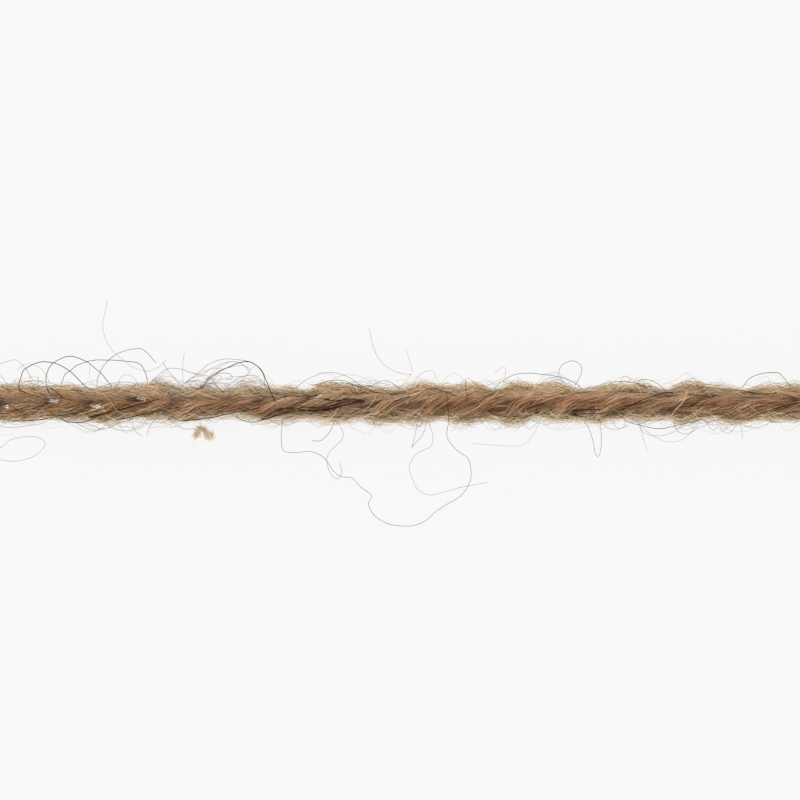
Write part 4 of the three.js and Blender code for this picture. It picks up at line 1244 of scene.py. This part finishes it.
# hairs that lie on the strand: thickness, shade, and places
laidHairs = [
    (0.08, 0.05, [(-35.3, 1.5), (-34.7, 1.17), (-33.7, 1.15), (-33.1, 0.88), (-32.2, 0.6), (-31.2, 0.5)]),
    (0.06, 0.1, [(-33.6, 1.25), (-32.5, 1.4), (-31.2, 1.45), (-30.8, 1.2)]),
    (0.065, 0.1, [(-30.9, 1.4), (-30.3, 0.9), (-29.9, 0.5), (-29.1, 0.25)]),
    (0.05, 0.15, [(-29.6, 1.05), (-28.8, 1.15), (-28.2, 1.0)]),
    (0.07, 0.08, [(-35.9, -1.1), (-34.2, -0.8), (-32.8, -0.2)]),
    (0.075, 0.05, [
        (-33.6, -1.62), (-32.0, -1.5), (-30.9, -1.33), (-29.6, -1.03), (-28.2, -0.8), (-27.5, -0.62)]),
    (0.1, 0.02, [
        (-27.6, -1.3), (-26.2, -0.95), (-25.0, -0.6), (-24.0, -0.38), (-23.1, -0.12), (-21.8, 0.22)]),
    (0.07, 0.06, [(-27.4, -1.35), (-25.6, -0.75), (-23.4, -0.32), (-22.2, 0.0)]),
    (0.055, 0.12, [(-26.8, 0.25), (-25.8, 0.1), (-24.8, -0.08), (-23.9, -0.22)]),
    (0.09, 0.02, [
        (-25.2, -1.48), (-24.2, -1.36), (-22.9, -1.03), (-21.6, -0.78), (-20.2, -0.5), (-19.5, -0.4)]),
    (0.06, 0.1, [(-24.2, 1.1), (-23.3, 1.75)]),
    (0.07, 0.08, [
        (-30.1, -1.3), (-29.66, -1.66), (-29.0, -1.74), (-28.4, -1.76), (-27.85, -1.64), (-27.2, -1.4),
        (-26.5, -1.1), (-25.7, -0.8)]),
    (0.09, 0.03, [
        (-20.6, -1.42), (-18.9, -1.54), (-17.0, -1.38), (-15.5, -1.0), (-13.6, -0.68), (-12.4, -0.4)]),
    (0.065, 0.08, [(-14.2, 1.15), (-13.5, 1.0), (-12.9, 1.02), (-12.5, 1.18), (-11.6, 1.2)]),
    (0.065, 0.08, [(-11.3, 0.92), (-10.0, 0.86), (-9.0, 0.83), (-8.5, 0.6)]),
    (0.05, 0.2, [(-10.4, 0.62), (-9.0, 0.58)]),
    (0.06, 0.05, [
        (-14.6, -1.25), (-13.7, -1.6), (-13.0, -1.75), (-12.3, -1.55), (-11.6, -1.05), (-10.3, -0.5),
        (-9.3, -0.45)]),
    (0.06, 0.08, [(-12.3, -1.55), (-11.3, -1.25), (-10.0, -0.87), (-8.6, -0.72), (-6.6, -0.6)]),
    (0.1, 0.03, [(-8.0, -1.05), (-7.0, -0.75), (-5.6, -0.42), (-4.6, -0.1), (-3.2, 0.15)]),
    (0.08, 0.06, [(-9.0, -0.65), (-7.6, -0.66), (-6.2, -0.52), (-5.0, -0.25), (-3.6, 0.05)]),
    (0.075, 0.06, [(-6.6, 0.3), (-5.6, 0.15), (-4.9, 0.33), (-4.0, 0.28), (-3.1, 0.15)]),
    (0.06, 0.12, [(-6.3, 1.8), (-4.7, 1.75), (-4.0, 1.5), (-3.2, 1.43), (-2.7, 1.12), (-1.9, 0.9)]),
    (0.055, 0.1, [(-4.1, 0.5), (-3.4, 0.88), (-2.0, 1.2), (-1.2, 1.0), (-0.5, 0.45)]),
    (0.065, 0.06, [(0.8, 0.1), (1.5, 0.5), (2.1, 1.05), (3.0, 1.25), (4.2, 0.92), (5.1, 0.55)]),
    (0.055, 0.12, [(4.1, 0.9), (4.25, -0.4), (4.3, -1.6)]),
    (0.06, 0.1, [(5.0, -0.65), (6.0, -0.35), (7.0, 0.15), (7.7, 0.6), (8.4, 0.9)]),
    (0.07, 0.05, [
        (7.9, -0.65), (8.3, -1.0), (9.2, -1.2), (10.2, -1.22), (11.3, -1.1), (12.2, -0.85),
        (13.4, -0.6)]),
    (0.06, 0.1, [(12.0, -0.35), (12.9, -0.05)]),
    (0.045, 0.3, [(5.8, 2.0), (5.85, 1.0), (5.95, 0.2)]),
    (0.085, 0.05, [(14.8, -0.9), (15.5, -0.68), (16.6, -0.6), (17.8, -0.6)]),
    (0.07, 0.07, [(14.9, -1.1), (16.4, -0.95), (18.0, -0.9), (19.0, -0.7), (20.2, -0.6)]),
    (0.06, 0.08, [(15.3, -1.05), (16.3, -1.25), (17.3, -1.3)]),
    (0.08, 0.04, [(19.6, -0.62), (20.4, -0.3), (21.3, 0.2), (22.4, 0.62), (23.2, 0.85), (24.2, 0.92)]),
    (0.05, 0.2, [(20.1, 0.95), (21.8, 0.9)]),
    (0.08, 0.04, [(21.2, 1.6), (22.0, 1.4), (22.8, 1.1), (23.4, 0.82), (24.6, 1.0)]),
    (0.075, 0.05, [(25.8, 1.37), (27.6, 1.35), (29.2, 1.15), (30.3, 1.1), (31.6, 0.85)]),
    (0.07, 0.08, [(25.5, 0.7), (26.5, 0.64), (27.2, 0.5), (28.0, 0.55)]),
    (0.07, 0.08, [(24.6, -0.42), (26.0, -0.26), (28.0, -0.1)]),
    (0.07, 0.08, [(23.0, -0.8), (24.2, -0.95), (25.8, -0.85)]),
    (0.06, 0.1, [(27.0, -0.95), (28.5, -1.0), (29.4, -0.95)]),
    (0.08, 0.05, [(33.2, -0.55), (34.8, -0.1), (36.2, 0.1)]),
    (0.06, 0.1, [(30.6, 0.95), (32.2, 0.8), (33.4, 0.9)]),
    (0.075, 0.05, [
        (-12.5, -1.6), (-10.6, -1.0), (-8.7, -0.43), (-6.5, -0.35), (-5.0, 0.02), (-3.3, 0.24)]),
    (0.065, 0.08, [(-11.7, -1.17), (-10.5, -0.5), (-8.9, -0.57), (-7.6, -0.72), (-5.3, -0.28)]),
    (0.055, 0.1, [(-11.0, -0.8), (-9.5, -0.2), (-8.3, 0.24), (-7.1, 0.39), (-6.2, 0.3)]),
    (0.055, 0.1, [(-9.1, -0.2), (-7.6, -0.43), (-5.5, 0.24), (-4.4, 0.2)]),
    (0.055, 0.1, [(-1.33, -0.65), (-0.74, -0.06), (0.15, 0.39), (0.9, 0.6)]),
    (0.055, 0.12, [(-36.0, 0.6), (-34.4, -0.3), (-33.2, -1.0)]),
    (0.06, 0.92, [(25.4, 1.0), (25.0, 0.0), (24.4, -0.6), (24.0, -1.2)]),
    (0.045, 0.95, [(11.4, 1.3), (12.8, 1.0), (13.8, 0.8), (14.7, 1.1)]),
    (0.045, 0.9, [(12.4, 0.0), (13.6, 0.5), (15.0, 0.7), (16.0, 1.3)]),
    (0.045, 0.95, [(6.0, -0.9), (7.6, 0.1), (8.8, 1.0)]),
    (0.045, 0.9, [(17.3, -0.3), (17.55, -1.0), (17.3, -1.6)]),
    (0.04, 0.9, [(12.3, -1.3), (12.5, -0.8), (13.2, -0.6)]),
    (0.04, 0.9, [(18.2, -0.2), (18.9, 0.3), (19.6, 1.0), (20.0, 1.6)]),
    (0.04, 0.85, [(-26.4, 0.9), (-25.6, 0.1), (-24.9, -0.9)]),
    (0.04, 0.85, [(-19.9, -1.2), (-18.6, -0.6), (-17.8, 0.0)]),
    (0.045, 0.9, [(-3.4, -0.9), (-2.6, -0.2), (-2.0, 0.8)]),
]

hairForm = {
    "step": 0.3,  # mm between the points of a hair
    "kink": 0.03,  # mm
    "kinkScale": 900.0,  # bends in a metre
    "lift": 0.68,  # mm above the body, where a hair lies on it
    "laidWider": 1.2,  # the hairs on the strand are this much thicker than their row says
    "slope": 0.09,  # how fast a hair comes down from a leg that it lies across, mm in a step
    "sunk": 0.5,  # mm that its ends go down among the fibres
    "sideLift": 0.5,  # mm more where the strand's side falls away under loose fibres
    "sideAt": 1.5,  # mm from the axis, where that lift is full and a loose hair leaves the strand
    "sideWidth": 1.0,  # mm in which a loose hair comes to its own height
    "probeFrom": 20.0,  # mm above the table, where the look down at the strand starts
}


def smoothPath(places, step):  # a soft line through places
    ends = [places[0] * 2 - places[1]] + places + [places[-1] * 2 - places[-2]]
    path = []
    for before, start, end, after in zip(ends, ends[1:], ends[2:], ends[3:]):
        steps = max(2, round((end - start).length / step))
        for number in range(steps):
            share = number / steps
            path.append(0.5 * (2 * start + (end - before) * share
                               + (2 * before - 5 * start + 4 * end - after) * share ** 2
                               + (3 * start - before - 3 * end + after) * share ** 3))
    path.append(places[-1])
    return path


def heightOnStrand(x, y):  # None beside the strand
    hit = strandTree.ray_cast(Vector((x, y, hairForm["probeFrom"])) * mm, Vector((0, 0, -1)))[0]
    return None if hit is None else hit.z / mm + hairForm["lift"]


def hairRoute(thickness, shade, height, places):
    points = smoothPath([Vector((x, y, 0.0)) for x, y in places], hairForm["step"])
    body = [heightOnStrand(point.x, point.y) for point in points]
    route = []
    for index, point in enumerate(points):
        near = [level - hairForm["slope"] * abs(index - other)
                for other, level in enumerate(body) if level is not None]
        level = max(near + [chain["axisHeight"]])
        level += hairForm["sideLift"] * min(1, abs(point.y) / hairForm["sideAt"]) ** 3
        if index in (0, len(points) - 1) and body[index] is not None:
            level -= hairForm["sunk"]
        if height is not None:
            share = min(1.0, max(0.0, (abs(point.y) - hairForm["sideAt"]) / hairForm["sideWidth"]))
            level += (height - level) * share * share * (3 - 2 * share)
        route.append({"place": Vector((point.x, point.y, max(level, thickness))),
                      "thickness": thickness * mm, "tone": shade})
    return route


def makeHairs(name, routes, material):
    host = makeHost(name, routes, ("thickness", "tone"))
    return grow(host, hairTree, {"Kink": hairForm["kink"] * mm, "Kink Scale": hairForm["kinkScale"],
                                 "Material": material})


# the speck of lint: lumps (x, y, z, radius) that melt into one another, and the threads that it hangs on

lintForm = {
    "lumps": [(-18.22, -2.92, 0.6, 0.13), (-18.08, -2.7, 0.65, 0.2), (-17.82, -2.45, 0.7, 0.25),
              (-17.58, -2.36, 0.7, 0.18), (-17.36, -2.52, 0.65, 0.13), (-17.18, -2.82, 0.6, 0.25),
              (-17.0, -3.04, 0.6, 0.32), (-16.84, -2.84, 0.55, 0.18)],
    "under": 0.06,  # mm that the lumps are smaller, under their fibres
    "ballCuts": 4,
    "grain": 0.05,  # mm, size of the faces where the lumps melt
    "rough": 0.1,  # mm
    "roughScale": 3.0,  # for each mm
    "roughOctaves": (1.0, 2.0, 4),  # how each one falls, how much finer it is, how many
    "routeTurns": (0.3, 1.5, 2.6),  # how the fibres' routes cross each lump
    "routeHalf": 0.5,  # of the lump's radius
    "fuzzRadius": 0.75,  # of the lump's radius
    "threads": [
        (0.065, 0.15, 0.6, [
            (-18.2, -2.8), (-18.3, -3.1), (-18.3, -3.4), (-18.4, -3.76), (-18.3, -4.0), (-18.46, -4.2)]),
        (0.045, 0.6, 0.7, [(-17.95, -3.05), (-17.7, -3.09), (-17.4, -3.05), (-17.1, -2.9)]),
        (0.05, 0.5, 1.0, [(-17.0, -1.3), (-17.0, -1.66), (-17.25, -1.85), (-17.5, -2.2)]),
        (0.04, 0.7, 1.0, [(-16.2, -1.35), (-16.6, -1.58), (-16.95, -1.78), (-17.3, -2.1), (-17.5, -2.3)]),
        (0.036, 0.7, 0.9, [(-16.0, -1.5), (-16.3, -1.8), (-16.6, -2.05), (-16.95, -2.3), (-17.1, -2.6)]),
        (0.036, 0.8, 0.8, [(-17.9, -1.4), (-17.8, -1.8), (-17.6, -2.0), (-17.6, -2.3)]),
        (0.036, 0.6, 0.8, [(-16.4, -2.6), (-16.6, -2.7), (-16.8, -2.65), (-17.0, -2.7)]),
    ],
}

fibreLayers["lintFibres"] = {
    "Count": 700, "Points": 9, "Span Min": 0.3, "Span Max": 1.0, "Spread": 3.1, "Drift": 2.5,
    "Depth Min": 0.7, "Depth Max": 1.3, "Wander": 0.2 * mm, "Wander Scale": 1800.0,
    "Lift": 0.5 * mm, "Lift Power": 2.5, "Arch Share": 0.6, "Thickness": 0.032 * mm,
    "Taper": 0.4, "Ply Tone": 0.2, "Seed": 61, "softness": 0.0,
}


def makeLint(material):
    ball = bmesh.new()
    for x, y, z, radius in lintForm["lumps"]:
        place = Matrix.Translation(Vector((x, y, z)) * mm)
        bmesh.ops.create_icosphere(
            ball, subdivisions=lintForm["ballCuts"], radius=(radius - lintForm["under"]) * mm, matrix=place)
    mesh = bpy.data.meshes.new("lintTuft")
    ball.to_mesh(mesh)
    ball.free()
    piece = bpy.data.objects.new("lintTuft", mesh)
    bpy.context.collection.objects.link(piece)
    melt = piece.modifiers.new("melt", "REMESH")
    melt.mode = "VOXEL"
    melt.voxel_size = lintForm["grain"] * mm
    graph = bpy.context.evaluated_depsgraph_get()
    piece.data = bpy.data.meshes.new_from_object(piece.evaluated_get(graph), depsgraph=graph)
    piece.modifiers.remove(melt)
    for corner in piece.data.vertices:
        rough = noise.fractal(corner.co / mm * lintForm["roughScale"], *lintForm["roughOctaves"])
        corner.co += corner.normal * rough * lintForm["rough"] * mm
    for face in piece.data.polygons:
        face.use_smooth = True
    piece.data.materials.append(material)
    return piece


def lintRoutes():
    routes = []
    for x, y, z, radius in lintForm["lumps"]:
        for turn in lintForm["routeTurns"]:
            side = Vector((math.cos(turn), math.sin(turn), 0.0)) * radius * lintForm["routeHalf"]
            middle = Vector((x, y, z))
            routes.append([{"place": middle + side * share, "outward": Vector((0, 0, 1)),
                            "plyRadius": radius * lintForm["fuzzRadius"] * mm}
                           for share in (-1, -0.5, 0, 0.5, 1)])
    return routes


def makeLintMaterial():
    material, tree, shader = newMaterial("lint", lint["roughness"], lint["sheen"])
    place = addNode(tree, "ShaderNodeTexCoord").outputs["Object"]
    streaks = useGroup(tree, streakGroup, Vector=place, Along=lint["streakAlong"],
                       Across=lint["streakAcross"], Detail=3.0)
    ofFibre = calc(tree, "MULTIPLY", readAttribute(tree, "tone"), 1 - lint["streakShare"])
    tone = calc(tree, "MULTIPLY_ADD", streaks["Mask"], lint["streakShare"], ofFibre)
    feed(tree, shader["Base Color"], toneColour(tree, lint, tone))
    addBump(tree, shader, lint, streaks["Height"])
    return material


# floor and light

studio = {
    "floor": 1.6,  # m across
    "floorColour": paint(56, 56, 56),
    "floorRoughness": 0.9,
    "floorGlow": 0.888,
    "zenith": 0.44,
    "horizon": 1.6,
    "keyPower": 4.0,  # W
    "keySize": 0.5,  # m
    "keyPlace": (-0.25, 0.4, 0.7),  # m
}


def makeStudio():
    size = studio["floor"] / 2
    mesh = bpy.data.meshes.new("floor")
    corners = [(-size, -size, 0), (size, -size, 0), (size, size, 0), (-size, size, 0)]
    mesh.from_pydata(corners, [], [(0, 1, 2, 3)])
    floor = bpy.data.objects.new("floor", mesh)
    bpy.context.collection.objects.link(floor)
    material, tree, shader = newMaterial("paleFloor", studio["floorRoughness"], 0.0)
    shader["Base Color"].default_value = studio["floorColour"]
    shader["Emission Color"].default_value = (1, 1, 1, 1)
    shader["Emission Strength"].default_value = studio["floorGlow"]
    mesh.materials.append(material)

    world = bpy.data.worlds.new("studio")
    bpy.context.scene.world = world
    world.use_nodes = True
    tree = world.node_tree
    parts = addNode(tree, "ShaderNodeSeparateXYZ")
    feed(tree, parts.inputs[0], addNode(tree, "ShaderNodeTexCoord").outputs["Generated"])
    up = ease(tree, parts.outputs[2], 0.0, 1.0)
    strength = calc(tree, "MULTIPLY_ADD", up, studio["zenith"] - studio["horizon"], studio["horizon"])
    feed(tree, tree.nodes["Background"].inputs["Strength"], strength)
    tree.nodes["Background"].inputs["Color"].default_value = (1, 1, 1, 1)

    light = bpy.data.lights.new("softKey", "AREA")
    light.energy = studio["keyPower"]
    light.size = studio["keySize"]
    key = bpy.data.objects.new("softKey", light)
    key.location = studio["keyPlace"]
    key.rotation_euler = Vector(studio["keyPlace"]).to_track_quat("Z", "Y").to_euler()
    bpy.context.collection.objects.link(key)
    bpy.context.scene.view_settings.view_transform = "Standard"


makeCamera()
print("camera at", [round(part, 4) for part in bpy.context.scene.camera.location])

toneGroup = makeToneGroup()
depthGroup = makeDepthGroup()
streakGroup = makeStreakGroup()
coreMaterial = makeCoreMaterial()
fibreMaterial = makeFibreMaterial("woolFibre", wool)
goldenMaterial = makeFibreMaterial("goldenFibre", goldenWool)
darkMaterial = makeFibreMaterial("darkFibre", darkWool)
edgeMaterial = makeLooseMaterial("edgeFibre", edgeWool)
haloMaterial = makeLooseMaterial("haloFibre", haloWool)
hairMaterial = makeLooseMaterial("guardHair", guardHair)
lintMaterial = makeLintMaterial()
print("materials:", len(bpy.data.materials))

coreRings = makeRings()
bodyFit = fitOfRings(coreRings)
strandCore = makeCore(coreRings, coreMaterial)
strandTree = BVHTree.FromObject(strandCore, bpy.context.evaluated_depsgraph_get())
print("strand core:", len(strandCore.data.polygons), "faces")

fibreTree = makeFibreTree()
hairTree = makeHairTree()
onPlies = plyRoutes()
atEdge = sideRoutes(fuzzForm["edgeRadius"], fuzzForm["ends"])
inHalo = sideRoutes(fuzzForm["haloRadius"], fuzzForm["ends"])
atCurls = sideRoutes(fuzzForm["haloRadius"], fuzzForm["curlEnds"])[:2]  # on the upper side only
fuzzFit = fitOfFuzz(fuzzForm["edgeRadius"])
woolPieces = [
    makeFibres("plyFibres", onPlies, fibreMaterial, bodyFit),
    makeFibres("combedFibres", onPlies, fibreMaterial, bodyFit),
    makeFibres("goldenFibres", onPlies, goldenMaterial, bodyFit),
    makeFibres("darkFibres", onPlies, darkMaterial, bodyFit),
    makeFibres("edgeFibres", atEdge, edgeMaterial, fuzzFit),
    makeFibres("haloFibres", inHalo, haloMaterial, fuzzFit),
    makeFibres("curlFibres", atCurls, haloMaterial, fuzzFit),
    makeFibres("endFibres", endRoutes(), haloMaterial),
]
for piece in woolPieces:
    print(piece.name, len(piece.data.polygons), "faces")

laidRoutes = [hairRoute(thickness * hairForm["laidWider"], shade, None, places)
              for thickness, shade, places in laidHairs]
laidPiece = makeHairs("laidHairs", laidRoutes, hairMaterial)
loosePiece = makeHairs("looseHairs", [hairRoute(*hair) for hair in looseHairs.values()], hairMaterial)
print("hairs:", len(laidHairs), "laid and", len(looseHairs), "loose")

lintTuft = makeLint(lintMaterial)
lintFibres = makeFibres("lintFibres", lintRoutes(), lintMaterial)
lintThreads = makeHairs("lintThreads", [hairRoute(*thread) for thread in lintForm["threads"]], lintMaterial)
print("lint:", len(lintTuft.data.polygons), "faces in the tuft")

for piece in woolPieces + [strandCore, laidPiece, loosePiece, lintTuft, lintFibres, lintThreads]:
    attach(piece, body)
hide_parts("yarn_strand")
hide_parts(*[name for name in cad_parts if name.startswith("guard_hair")])
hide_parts("lint_speck")

makeStudio()
